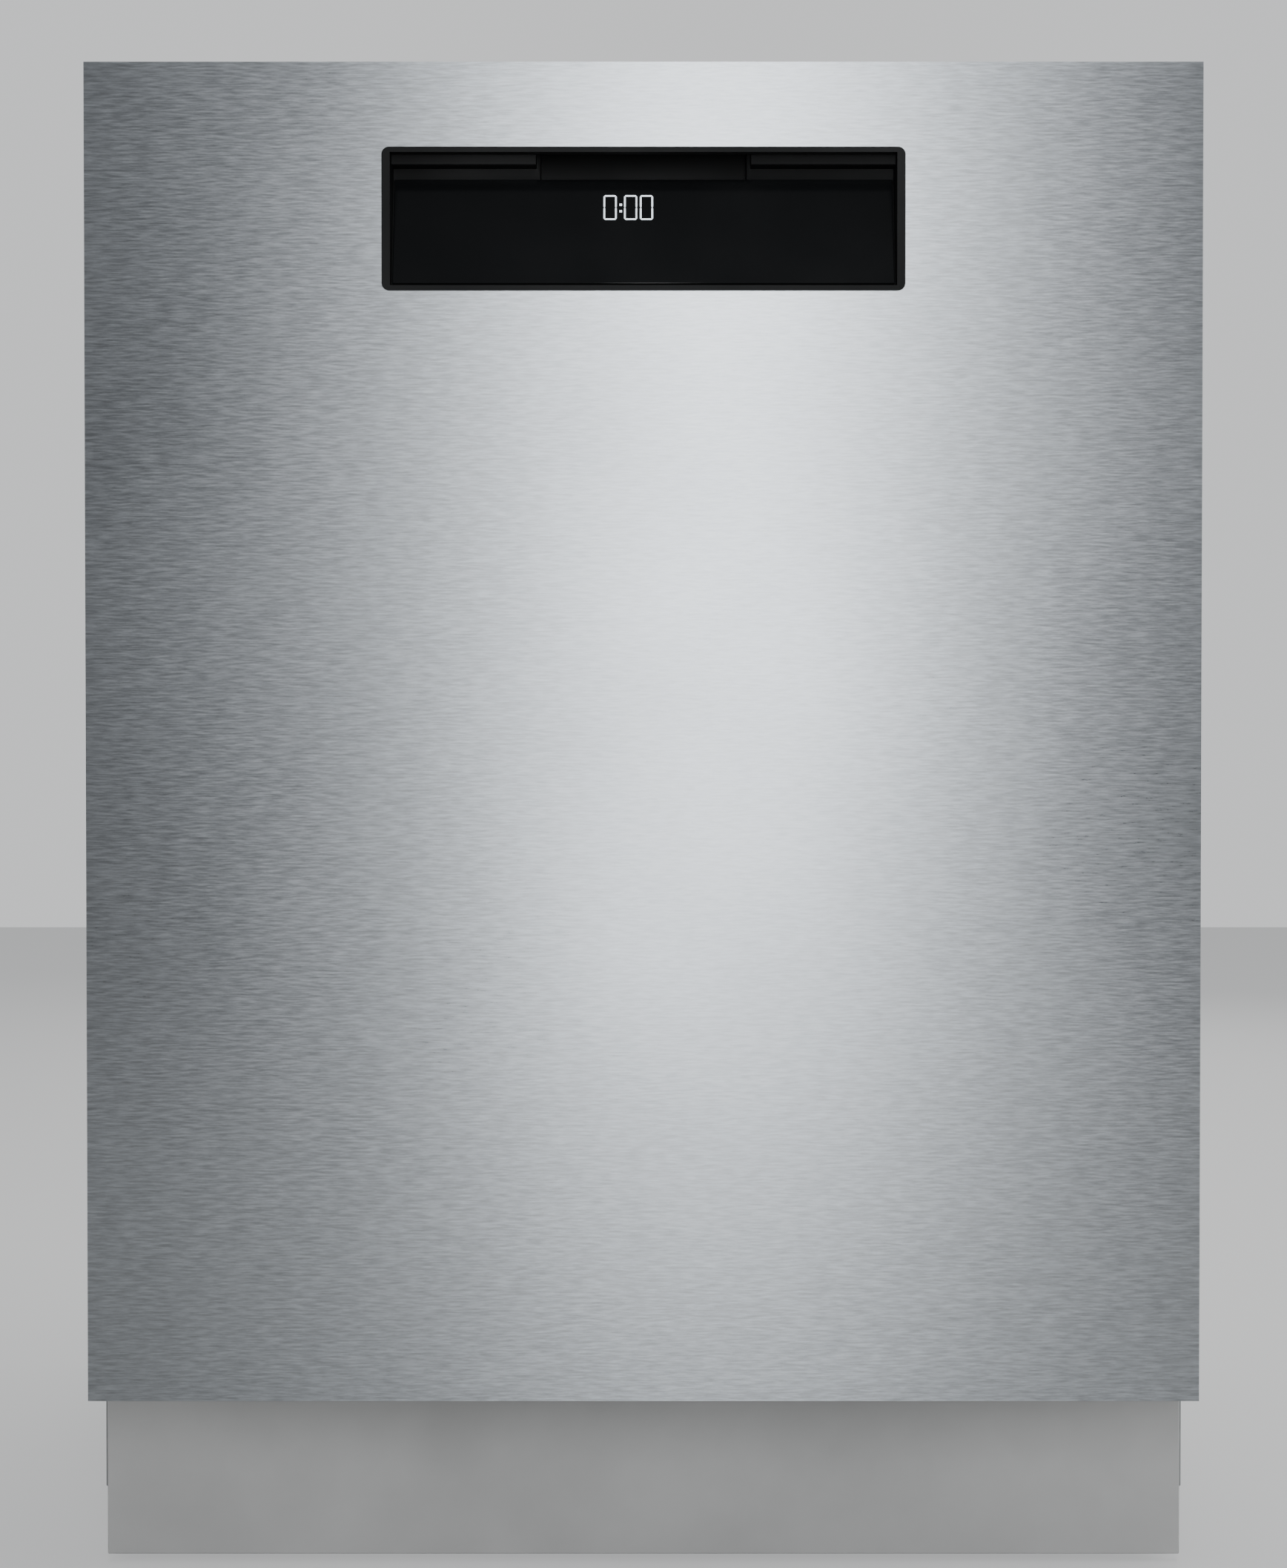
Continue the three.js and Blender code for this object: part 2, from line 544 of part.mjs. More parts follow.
function doorFrontPanel() {
  const half = DOOR_WIDTH / 2;
  const face = deepBox([-half, half], [FACE_SET, faceBack], [DOOR_BOTTOM, doorTop]);
  const returns = sides.map(([, side]) => sideBox(side, [half - FACE_SHEET, half], [FACE_SET, SIDE_RETURN],
      [DOOR_BOTTOM, doorTop]));
  const foldAt = (z, reach) => deepBox([-half, half], [FACE_SET, reach], [z, z + FACE_SHEET]);
  const hole = roundedPlate(POCKET_WIDTH - 2 * POCKET_RIM + 2 * RUNNING, pocketFloor - RUNNING,
      pocketCeiling + RUNNING,
    POCKET_CORNER, [-1, faceBack + 1]);
  return cut(join(face, returns, foldAt(DOOR_BOTTOM, FOOT_RETURN), foldAt(doorTop - FACE_SHEET, 4)), hole);
}

// The moulded pocket: a rim on the face, a sloping back for the window, and a finger slot
// that rises behind the lip. Side blocks narrow the slot to its open middle.
function handlePocket() {
  const wall = 2;
  const half = POCKET_WIDTH / 2 - POCKET_RIM - RUNNING / 2;
  const insideHalf = half - wall;
  const rim = roundedPlate(POCKET_WIDTH, pocketBottom, pocketTop, POCKET_CORNER, [0, FACE_SET - GAP]);
  const neck = roundedPlate(2 * half, pocketFloor, pocketCeiling, POCKET_CORNER, [0.2, faceBack + 1]);
  const housing = deepBox([-half, half], [faceBack + GAP, POCKET_DEEP + wall],
    [pocketFloor - wall, pocketCeiling + FINGER_RISE + wall]);
  const air = acrossProfile([
    [-1, pocketFloor + 0.6],
    [WINDOW_FOOT, pocketFloor + 0.6],
    [WINDOW_HEAD, windowHead],
    [POCKET_DEEP, windowHead],
    [POCKET_DEEP, pocketCeiling + FINGER_RISE],
    [LIP_THICK, pocketCeiling + FINGER_RISE],
    [LIP_THICK, pocketCeiling - 0.6],
    [-1, pocketCeiling - 0.6],
  ], [-insideHalf, insideHalf]);
  const blocks = sides.map(([, side]) => join(
    sideBox(side, [FINGER_WIDTH / 2, insideHalf + 1], [WINDOW_HEAD, POCKET_DEEP + 1],
      [windowHead - 1, pocketCeiling + FINGER_RISE + 1]),
    sideBox(side, [FINGER_WIDTH / 2 + 2, insideHalf + 1], [LIP_THICK + 4, WINDOW_HEAD + 1],
      [pocketCeiling - 5, pocketCeiling + FINGER_RISE + 1])));
  return join(cut(join(rim, neck, housing), air), blocks);
}

// The black window lies on the pocket's sloping back.
function displayWindow() {
  const rise = windowHead - pocketFloor - 0.6;
  const run = WINDOW_HEAD - WINDOW_FOOT;
  const long = Math.hypot(rise, run);
  const half = POCKET_WIDTH / 2 - POCKET_RIM - 3;
  const plate = box([-half, half], [-WINDOW_THICK, 0], [1, long - 1]);
  return { plate, tilt: -Math.atan2(run, rise), foot: [0, at(WINDOW_FOOT) - GAP, pocketFloor + 0.6 + GAP] };
}

const BUTTON_SPREAD = DOOR_WIDTH / 2 - 62;
const buttons = [['power_button', -BUTTON_SPREAD], ['program_button', BUTTON_SPREAD - 85],
    ['start_button', BUTTON_SPREAD]];
const LATCH_SLOT = { left: -13, right: 26, front: 30, low: doorTop - 13.5, high: doorTop - 3.5 };

function controlStrip() {
  const half = DOOR_WIDTH / 2 - FACE_SHEET - GAP;
  const top = doorTop - 1;
  const shell = cut(
    deepBox([-half, half], [4 + GAP, DOOR_THICK - 1], [stripBottom, top]),
    deepBox([-half + 2, half - 2], [6 + GAP, DOOR_THICK - 3], [stripBottom - 1, top - 2]));
  const holes = buttons.map(([, x]) => deepBox(
    [x - BUTTON_LENGTH / 2 - RUNNING, x + BUTTON_LENGTH / 2 + RUNNING],
    [BUTTON_LINE - BUTTON_DEEP / 2 - RUNNING, BUTTON_LINE + BUTTON_DEEP / 2 + RUNNING], [top - 5, top + 1]));
  const slot = deepBox([LATCH_SLOT.left, LATCH_SLOT.right], [LATCH_SLOT.front, DOOR_THICK],
      [LATCH_SLOT.low, LATCH_SLOT.high]);
  return cut(shell, holes, slot);
}

// A key in its own frame, centred on its hole, with z = 0 at the strip's top.
const button = () => box([-BUTTON_LENGTH / 2, BUTTON_LENGTH / 2], [-BUTTON_DEEP / 2, BUTTON_DEEP / 2],
  [-BUTTON_BODY, BUTTON_PROUD]);

const dispenserLow = pocketBottom - 239;
const DISPENSER = { left: -112, right: 78, low: dispenserLow, high: dispenserLow + 130, front: 26, lip: 4,
    proud: 2.2 };
const CUP = { left: -100, right: -28, low: dispenserLow + 5, high: dispenserLow + 59, front: 34 };
const RINSE = { x: 40, z: dispenserLow + 47, cap: 19 };
const innerTop = stripBottom - GAP;
const innerHalf = DOOR_WIDTH / 2 - 9;
const NOTCH = { half: innerHalf - 14, top: hingeZ + 53 };

// The stainless liner: a tray open to the front, notched for the hinges, with two wheel tracks.
function innerDoorPanel() {
  const bottom = DOOR_BOTTOM + 10;
  const front = HINGE_BACK - 6;
  const tray = cut(
    deepBox([-innerHalf, innerHalf], [front, DOOR_THICK], [bottom, innerTop]),
    deepBox([-innerHalf + SHEET, innerHalf - SHEET], [front - 1, DOOR_THICK - SHEET],
        [bottom + SHEET, innerTop - SHEET]));
  const notches = sides.map(([, side]) => sideBox(side, [NOTCH.half, innerHalf + 1], [0, DOOR_THICK + 1],
      [bottom - 1, NOTCH.top]));
  const opening = deepBox([DISPENSER.left - RUNNING, DISPENSER.right + RUNNING], [0, DOOR_THICK + 1],
    [DISPENSER.low - RUNNING, DISPENSER.high + RUNNING]);
  const tracks = sides.map(([, side]) => sideBox(side, [wheelX - 7, wheelX + 9],
      [DOOR_THICK - SHEET / 2, DOOR_THICK + 2.5], [200, 640]));
  return join(cut(tray, notches, opening), tracks);
}

function dispenserBody() {
  const { left, right, low, high, front, lip, proud } = DISPENSER;
  const body = deepBox([left, right], [front, DOOR_THICK + 1], [low, high]);
  const face = deepBox([left - lip, right + lip], [DOOR_THICK + GAP, DOOR_THICK + proud],
      [low - lip, high + lip]);
  const cup = deepBox([CUP.left, CUP.right], [CUP.front, DOOR_THICK + 5], [CUP.low, CUP.high]);
  const port = bar(RINSE.cap - 5, [RINSE.x, at(DOOR_THICK - 20), RINSE.z],
      [RINSE.x, at(DOOR_THICK + 5), RINSE.z], 16);
  return cut(join(body, face), cup, port);
}

const lidNear = DOOR_THICK + DISPENSER.proud + GAP;
const detergentLid = () => join(
  deepBox([CUP.left - 4, CUP.right + 4], [lidNear, lidNear + 2.2], [CUP.low - 4, CUP.high + 4]),
  deepBox([CUP.left + 16, CUP.right - 16], [lidNear + 1, lidNear + 5], [CUP.high - 8, CUP.high - 3]));

// The rinse-aid cap in its own frame, with y = 0 on the dispenser's face.
const rinseAidCap = () => join(
  bar(RINSE.cap, [0, GAP, 0], [0, GAP + 3, 0], 20),
  box([-13, 13], [GAP + 2, GAP + 7], [-2.5, 2.5]));

const lowerDoorSeal = () => deepBox([-NOTCH.half + 4, NOTCH.half - 4], [DOOR_THICK + GAP, FLANGE_AT - 1.4],
  [TUB_FLOOR - 19, TUB_FLOOR - 7]);

const LEVER = { in: 9, out: 13, front: 34, back: 57, low: doorTop - 12, high: doorTop - 5 };
const latchLever = () => deepBox([LEVER.in, LEVER.out], [LEVER.front, LEVER.back], [LEVER.low, LEVER.high]);

add(door, 'door_front_panel', brushedSteel, doorFrontPanel());
add(door, 'handle_pocket', blackPlastic, handlePocket());
const window = displayWindow();
const windowMesh = add(door, 'display_window', blackGlass, window.plate, window.foot);
windowMesh.rotation.x = window.tilt;
add(door, 'control_strip', blackPlastic, controlStrip());
for (const [name, x] of buttons) add(door, name, greyPlastic, button(), [x, at(BUTTON_LINE), doorTop - 1]);
add(door, 'inner_door_panel', tubSteel, innerDoorPanel());
add(door, 'dispenser_body', greyPlastic, dispenserBody());
add(door, 'detergent_lid', whitePlastic, detergentLid());
add(door, 'rinse_aid_cap', greyPlastic, rinseAidCap(), [RINSE.x, at(DOOR_THICK + DISPENSER.proud), RINSE.z]);
add(door, 'lower_door_seal', rubber, lowerDoorSeal());
add(door, 'latch_lever', galvanised, latchLever());
for (const [name, side] of sides) add(door, `${name}_hinge_arm`, galvanised, hingeArm(side));

// ---------------------------------------------------------------- racks

// Evenly spaced places from -span / 2 to span / 2, both ends included.
const spaced = (count, span) => Array.from({ length: count }, (_, i) => (i / (count - 1) - 0.5) * span);

// A wire basket in its own frame: the floor wires' centres at z = 0, the middle at x = y = 0.
function basket(width, deep, tall, across, along) {
  const half = width / 2;
  const back = deep / 2;
  const r = WIRE / 2;
  const floor = [
    ...spaced(across, width - WIRE).map((x) => box([x - r, x + r], [-back, back], [-r, r])),
    ...spaced(along, deep - WIRE).map((y) => box([-half, half], [y - r, y + r], [-r, r])),
  ];
  const ring = (z) => cut(box([-half, half], [-back, back], [z - r, z + r]),
    box([-half + WIRE, half - WIRE], [-back + WIRE, back - WIRE], [z - WIRE, z + WIRE]));
  const posts = [
    ...spaced(across, width - WIRE).flatMap((x) => [-back + r, back - r].map((y) => [x, y])),
    ...spaced(along, deep - WIRE).slice(1, -1).flatMap((y) => [-half + r, half - r].map((x) => [x, y])),
  ].map(([x, y]) => box([x - r, x + r], [y - r, y + r], [-r, tall]));
  return join(floor, ring(tall - r), ring(tall / 2), posts);
}

const rackMiddle = at(RACK_FRONT + RACK_DEEP / 2);
const lowerRack = new THREE.Group();
lowerRack.position.set(0, rackMiddle, LOWER_RACK_Z);
dishwasher.add(lowerRack);

const wheelZ = TUB_FLOOR + LEDGE_RISE + GAP + WHEEL_RADIUS - LOWER_RACK_Z;
const wheelY = RACK_DEEP / 2 - WHEEL_INSET;
const AXLE_RADIUS = 3;
const wheelPlaces = sides.flatMap(([name, side]) => [
  [`front_${name}_wheel`, side, -wheelY],
  [`rear_${name}_wheel`, side, wheelY],
]);

// The basket with its wheel legs and axles.
function lowerRackFrame() {
  const half = LOWER_RACK_WIDTH / 2;
  const legs = wheelPlaces.map(([, side, y]) => {
    const x = [side * (half - WIRE), side * (half + 4)].sort((a, b) => a - b);
    return join(
      box(x, [y - 6, y + 6], [wheelZ - 6, 24]),
      bar(AXLE_RADIUS, [side * half, y, wheelZ], [side * (wheelX + WHEEL_WIDTH / 2 - 2), y, wheelZ], 10));
  });
  return join(basket(LOWER_RACK_WIDTH, RACK_DEEP, LOWER_RACK_TALL, 8, 7), legs);
}

// A wheel in its own frame, turning about X, with a blind bore for its axle.
function wheel(side) {
  const half = WHEEL_WIDTH / 2;
  const bore = AXLE_RADIUS + RUNNING + 0.2;
  return cut(bar(WHEEL_RADIUS, [-half, 0, 0], [half, 0, 0], 20),
    bar(bore, [side * -(half + 1), 0, 0], [side * (half - 1.4), 0, 0], 10));
}

// A comb of plate tines in its own frame; its hinge wire lies on the X axis.
const TINE_SPAN = LOWER_RACK_WIDTH - 186;
const TINES = { count: 9, span: TINE_SPAN, tall: 92, x: 31 + (TINE_SPAN - LOWER_RACK_WIDTH) / 2, y: 40 };
function plateTines() {
  const r = WIRE / 2;
  const half = TINES.span / 2;
  return join(
    bar(r, [-half - 6, 0, 0], [half + 6, 0, 0], 12),
    spaced(TINES.count, TINES.span).map((x) => box([x - r, x + r], [-r, r], [0, TINES.tall])));
}

// The cutlery basket in its own frame: five cells by two, with a carrying handle.
const CUTLERY = { x: LOWER_RACK_WIDTH / 2 - 67, y: 142 - RACK_DEEP / 2, width: 96, deep: 230, tall: 100,
    wall: 2, handle: 138 };
function cutleryBasket() {
  const { width, deep, tall, wall, handle } = CUTLERY;
  const half = width / 2;
  const cellX = spaced(2, half).map((x) => [x - half / 2 + wall / 2, x + half / 2 - wall / 2]);
  const cellY = spaced(5, deep * 0.8).map((y) => [y - deep / 10 + wall / 2, y + deep / 10 - wall / 2]);
  const cells = cellX.flatMap((x) => cellY.map((y) => box(x, y, [wall, tall + 1])));
  const grip = cut(box([-wall, wall], [-60, 60], [tall - 10, handle]),
      box([-wall - 1, wall + 1], [-50, 50], [tall, handle - 8]));
  return join(cut(box([-half, half], [-deep / 2, deep / 2], [0, tall]), cells), grip);
}

add(lowerRack, 'lower_rack', rackWire, lowerRackFrame());
for (const [name, side, y] of wheelPlaces) add(lowerRack, name, greyPlastic, wheel(side),
    [side * wheelX, y, wheelZ]);
add(lowerRack, 'plate_tines', rackWire, plateTines(), [TINES.x, TINES.y, WIRE + GAP]);
add(lowerRack, 'cutlery_basket', greyPlastic, cutleryBasket(), [CUTLERY.x, CUTLERY.y, WIRE / 2 + GAP]);

const upperRack = new THREE.Group();
upperRack.position.set(0, rackMiddle, UPPER_RACK_Z);
dishwasher.add(upperRack);

const UPPER_POST = 16;          // feed boss under the upper rack's floor
const upperArmZ = -(ARM_THICK + 3 + 2 * GAP + UPPER_POST - 4);

// The basket, with the water duct that runs under its floor from the rear dock to the arm's hub.
function upperRackFrame() {
  const dockY = at(TUB_BACK - SHEET - GAP - 24 - GAP) - rackMiddle;
  const hubY = armHub.y - rackMiddle;
  return join(
    basket(UPPER_RACK_WIDTH, RACK_DEEP, UPPER_RACK_TALL, 8, 7),
    box([-9, 9], [hubY - 9, dockY], [-UPPER_POST + 4, -1]),
    bar(14, [0, hubY, -UPPER_POST + 4], [0, hubY, 1], 14));
}

const RAIL = { in: UPPER_RACK_WIDTH / 2 + GAP, out: UPPER_RACK_WIDTH / 2 + 13, low: 40, high: 60, wall: 2,
    half: 7.6 };

// A rail in the rack's frame: a C channel, open outwards, that runs on the rollers on the tub's wall.
function rackRail(side) {
  const x = (a, b) => (side > 0 ? [a, b] : [-b, -a]);
  const long = [-RACK_DEEP / 2, RACK_DEEP / 2];
  return cut(
    box(x(RAIL.in, RAIL.out), long, [RAIL.low, RAIL.high]),
    box(x(RAIL.in + RAIL.wall, RAIL.out + 1), [long[0] + 6, long[1] - 6],
        [RAIL.low + RAIL.wall, RAIL.high - RAIL.wall]));
}

// A fold-up cup shelf in its own frame; its hinge wire lies on the Y axis and it reaches inwards.
const SHELF = { deep: 300, reach: 110, z: 78 };
function cupShelf(side) {
  const r = WIRE / 2;
  const x = (a, b) => (side > 0 ? [-b, -a] : [a, b]);
  const long = SHELF.deep / 2;
  return join(
    bar(r, [0, -long, 0], [0, long, 0], 12),
    [SHELF.reach / 2, SHELF.reach - WIRE].map((inward) => box(x(inward - r, inward + r), [-long, long],
        [-r, r])),
    spaced(7, SHELF.deep - WIRE).map((y) => box(x(0, SHELF.reach - WIRE + r), [y - r, y + r], [-r, r])));
}

// The plate on the tub's wall whose two rollers run in the rail's channel.
const ROLLER = { radius: RAIL.half, in: RAIL.out - 10, out: RAIL.out - 1, at: [104, 146] };
function rollerPlate(side) {
  const z = UPPER_RACK_Z + (RAIL.low + RAIL.high) / 2;
  const plate = sideBox(side, [tubInner - GAP - 3, tubInner - GAP], [ROLLER.at[0] - 14, ROLLER.at[1] + 14],
      [z - 18, z + 18]);
  return join(plate, ROLLER.at.map((depth) => join(
    bar(3, [side * ROLLER.in, at(depth), z], [side * (tubInner - GAP - 1), at(depth), z], 10),
    bar(ROLLER.radius, [side * ROLLER.in, at(depth), z], [side * ROLLER.out, at(depth), z], 16))));
}

add(upperRack, 'upper_rack', rackWire, upperRackFrame());
for (const [name, side] of sides) add(dishwasher, `${name}_roller_plate`, greyPlastic, rollerPlate(side));
add(upperRack, 'upper_spray_arm', greyPlastic, sprayArm(UPPER_ARM_REACH),
    [0, armHub.y - rackMiddle, upperArmZ]);
for (const [name, side] of sides) {
  add(upperRack, `${name}_rack_rail`, galvanised, rackRail(side));
  add(upperRack, `${name}_cup_shelf`, rackWire, cupShelf(side),
    [side * (UPPER_RACK_WIDTH / 2 - WIRE * 1.5 - GAP), 0, SHELF.z]);
}

export default dishwasher;
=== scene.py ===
import json
import math
import bmesh
import bpy
import numpy as np
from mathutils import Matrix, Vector


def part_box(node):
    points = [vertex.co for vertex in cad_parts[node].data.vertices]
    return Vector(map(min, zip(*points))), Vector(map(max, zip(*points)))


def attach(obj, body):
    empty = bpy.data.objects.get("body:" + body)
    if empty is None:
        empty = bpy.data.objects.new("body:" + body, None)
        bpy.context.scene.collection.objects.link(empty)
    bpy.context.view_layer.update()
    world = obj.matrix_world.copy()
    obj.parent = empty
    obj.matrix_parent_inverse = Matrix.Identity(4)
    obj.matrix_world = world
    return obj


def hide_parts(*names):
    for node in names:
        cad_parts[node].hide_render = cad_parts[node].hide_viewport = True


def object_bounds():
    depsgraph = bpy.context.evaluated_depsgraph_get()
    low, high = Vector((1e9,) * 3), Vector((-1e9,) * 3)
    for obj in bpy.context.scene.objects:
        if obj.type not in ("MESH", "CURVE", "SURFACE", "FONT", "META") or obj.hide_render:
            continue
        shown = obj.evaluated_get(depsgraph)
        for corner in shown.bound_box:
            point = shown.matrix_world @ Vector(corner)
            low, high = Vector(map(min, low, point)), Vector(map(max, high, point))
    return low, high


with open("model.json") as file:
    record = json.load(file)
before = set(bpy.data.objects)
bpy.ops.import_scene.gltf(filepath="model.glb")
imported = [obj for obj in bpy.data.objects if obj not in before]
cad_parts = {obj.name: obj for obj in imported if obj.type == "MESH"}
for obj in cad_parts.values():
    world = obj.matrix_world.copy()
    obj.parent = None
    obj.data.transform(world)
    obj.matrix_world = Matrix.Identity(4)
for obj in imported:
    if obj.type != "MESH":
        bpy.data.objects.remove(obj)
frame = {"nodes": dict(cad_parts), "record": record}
cad_low, cad_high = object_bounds()

# ---------------------------------------------------------------- the studio
# A pale floor, a plain background behind and soft lights. The tall lamp beside the camera gives the
# brushed door its upright sheen, because grain that runs across spreads a reflection up and down.

LENS_MM = 66.87
SENSOR_MM = 36
CAMERA_Y = cad_low.y - 1.55
CAMERA_Z = 0.46
AIM_Z = 0.432
FLOOR_HALF = 5.0
FLOOR_GLOW = 0.56


def linked(obj):
    bpy.context.scene.collection.objects.link(obj)
    return obj


def aimed(name, data, place, aim):
    """A new object at place, its -Z axis facing aim."""
    obj = linked(bpy.data.objects.new(name, data))
    obj.location = place
    obj.rotation_euler = (Vector(aim) - obj.location).to_track_quat("-Z", "Y").to_euler()
    return obj


def feed(tree, node, *sources, **named):
    """Feeds a shader node's inputs, in order or by name with _ for a space. Each takes a plain
    value, or a link from another node's output."""
    inputs = list(zip(node.inputs, sources))
    inputs += [(node.inputs[name.replace("_", " ")], source) for name, source in named.items()]
    for into, source in inputs:
        if isinstance(source, bpy.types.NodeSocket):
            tree.links.new(source, into)
        else:
            into.default_value = source
    return node


def add_node(tree, kind, *sources, operation=None, **named):
    made = tree.nodes.new("ShaderNode" + kind)
    if operation:
        made.operation = operation
    return feed(tree, made, *sources, **named)


def new_material(name):
    made = bpy.data.materials.new(name)
    made.use_nodes = True
    tree = made.node_tree
    return made, tree, tree.nodes["Principled BSDF"]


camera = aimed("camera", bpy.data.cameras.new("camera"), (0, CAMERA_Y, CAMERA_Z), (0, cad_low.y, AIM_Z))
camera.data.lens, camera.data.sensor_width = LENS_MM, SENSOR_MM
bpy.context.scene.camera = camera

floor_mesh = bpy.data.meshes.new("floor")
floor_mesh.from_pydata([(-FLOOR_HALF, -FLOOR_HALF, 0), (FLOOR_HALF, -FLOOR_HALF, 0),
                        (FLOOR_HALF, FLOOR_HALF, 0), (-FLOOR_HALF, FLOOR_HALF, 0)], [], [(0, 1, 2, 3)])
floor = linked(bpy.data.objects.new("floor", floor_mesh))
floor_finish, tree, shader = new_material("floor_finish")
glow = add_node(tree, "Math", add_node(tree, "LightPath").outputs["Is Camera Ray"], FLOOR_GLOW,
                operation="MULTIPLY")
feed(tree, shader, Base_Color=(0.36, 0.36, 0.355, 1), Roughness=0.7,
     Emission_Color=(0.80, 0.81, 0.82, 1), Emission_Strength=glow.outputs[0])
floor_mesh.materials.append(floor_finish)

world = bpy.data.worlds.new("room")
bpy.context.scene.world = world
world.use_nodes = True
sky = world.node_tree
ambient = feed(sky, sky.nodes["Background"], Color=(0.80, 0.82, 0.85, 1), Strength=0.13)
seen = add_node(sky, "Background", Color=(0.78, 0.79, 0.80, 1))
choose = add_node(sky, "MixShader", add_node(sky, "LightPath").outputs["Is Camera Ray"],
                  ambient.outputs[0], seen.outputs[0])
feed(sky, sky.nodes["World Output"], Surface=choose.outputs[0])


def lamp(name, place, aim, width, height, power, colour=(1, 1, 1)):
    """A rectangular softbox of width by height metres at place, facing aim."""
    light = bpy.data.lights.new(name, "AREA")
    light.shape = "RECTANGLE"
    light.size, light.size_y, light.energy, light.color = width, height, power, colour
    aimed(name, light, place, aim)


lamp("sheen_lamp", (0.10, -2.75, 1.0), (0.10, 0, 0.7), 0.42, 2.4, 20, (0.97, 0.985, 1))
lamp("ceiling_lamp", (0.2, 0.3, 2.7), (0, 0, 0.4), 2.2, 2.0, 42)
lamp("left_fill", (-2.6, -1.0, 1.2), (0, 0, 0.4), 1.2, 1.6, 7)
lamp("right_fill", (2.6, -0.6, 1.3), (0, 0, 0.4), 1.2, 1.6, 16)
lamp("back_fill", (0.5, 2.7, 1.6), (0, 0, 0.4), 2.0, 1.6, 22)

# ---------------------------------------------------------------- base, feet and kick plate
# The base is one black injection moulding that carries the tub and the pumps. Each foot is a
# moulded pad on a zinc stud, screwed up into a boss, and the kick plate clips on in front.

body_of_node = {n: body for body, nodes in frame["record"]["behaviour"]["bodies"].items() for n in nodes}
ROUNDED_ABOVE = math.radians(32)
COPY_SHARP = math.radians(35)
GRID_SHARP = math.radians(38)


def merged_copy(node, material, bevel, segments=2):
    """A copy of a CAD node, its loose triangles merged into flat faces and its sharp edges
    rounded by bevel metres. It takes the node's place and body, and wears the given material."""
    mesh = frame["nodes"][node].data.copy()
    mesh.materials.clear()
    shell = bmesh.new()
    shell.from_mesh(mesh)
    bmesh.ops.remove_doubles(shell, verts=shell.verts, dist=1e-5)
    bmesh.ops.dissolve_limit(shell, angle_limit=math.radians(1), verts=shell.verts, edges=shell.edges)
    shell.to_mesh(mesh)
    shell.free()
    piece = linked(bpy.data.objects.new(node + "_finished", mesh))
    rounding = piece.modifiers.new("rounded_edges", "BEVEL")
    rounding.width, rounding.segments, rounding.limit_method = bevel, segments, "ANGLE"
    rounding.angle_limit, rounding.use_clamp_overlap = ROUNDED_ABOVE, True
    rounding.harden_normals = False
    mesh.shade_smooth()
    mesh.set_sharp_from_angle(angle=COPY_SHARP)
    mesh.materials.append(material)
    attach(piece, body_of_node[node])
    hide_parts(node)


def finish_group(name, **inputs):
    """An empty node group that turns the inputs, each given with its kind, into a Colour, a
    Roughness and a Height. It comes with its start node's outputs and its end node."""
    group = bpy.data.node_groups.new(name, "ShaderNodeTree")
    outputs = {"Colour": "Color", "Roughness": "Float", "Height": "Float"}
    for way, sockets in (("INPUT", inputs), ("OUTPUT", outputs)):
        for title, kind in sockets.items():
            group.interface.new_socket(name=title.replace("_", " "), in_out=way,
                                       socket_type="NodeSocket" + kind)
    return group, group.nodes.new("NodeGroupInput").outputs, group.nodes.new("NodeGroupOutput")


def object_place(tree):
    return add_node(tree, "TexCoord").outputs["Object"]


def ranged(tree, value, low, high, value_low=0.3, value_high=0.7):
    """The value, as it runs from value_low to value_high, carried over to low to high."""
    return add_node(tree, "MapRange", Value=value, From_Min=value_low, From_Max=value_high,
                    To_Min=low, To_Max=high).outputs["Result"]


def added(tree, first, second):
    return add_node(tree, "Math", first, second).outputs[0]


def blended(tree, factor, first, second):
    """The first colour where the factor is 0 and the second where it is 1."""
    mix = tree.nodes.new("ShaderNodeMix")
    mix.data_type = "RGBA"
    return feed(tree, mix, Factor=factor, A=first, B=second).outputs["Result"]


def speckle_group():
    """Fine moulded texture and light handling marks: noise at a fine scale for the bump, and at a
    broad scale for the roughness and for a slight change of shade."""
    group, given, end = finish_group("moulded_texture", Colour="Color", Roughness="Float", Fine_Scale="Float")
    place = object_place(group)
    fine = add_node(group, "TexNoise", Vector=place, Scale=given["Fine Scale"], Detail=2)
    broad = add_node(group, "TexNoise", Vector=place, Scale=14, Detail=5)
    spread = ranged(group, broad.outputs["Fac"], -0.06, 0.08)
    shade = add_node(group, "HueSaturation", Value=added(group, spread, 1.0), Color=given["Colour"])
    feed(group, end, Colour=shade.outputs["Color"], Roughness=added(group, given["Roughness"], spread),
         Height=fine.outputs["Fac"])
    return group


moulded_texture = speckle_group()


def add_bump(tree, shader, height, distance):
    bump = add_node(tree, "Bump", Height=height, Distance=distance, Strength=1.0)
    feed(tree, shader, Normal=bump.outputs["Normal"])


def wear(tree, shader, group, depth, **given):
    """Lays a finish group over a shader's colour, roughness and bump."""
    finish = tree.nodes.new("ShaderNodeGroup")
    finish.node_tree = group
    feed(tree, finish, **given)
    feed(tree, shader, Base_Color=finish.outputs["Colour"], Roughness=finish.outputs["Roughness"])
    add_bump(tree, shader, finish.outputs["Height"], depth)


def moulded(name, colour, roughness, fine_scale=2500.0, depth=0.00002, coat=0.0):
    """Moulded plastic, rubber or paint: its own colour with the moulded texture over it."""
    made, tree, shader = new_material(name)
    wear(tree, shader, moulded_texture, depth, Colour=(*colour, 1), Roughness=roughness,
         Fine_Scale=fine_scale)
    feed(tree, shader, Coat_Weight=coat)
    return made


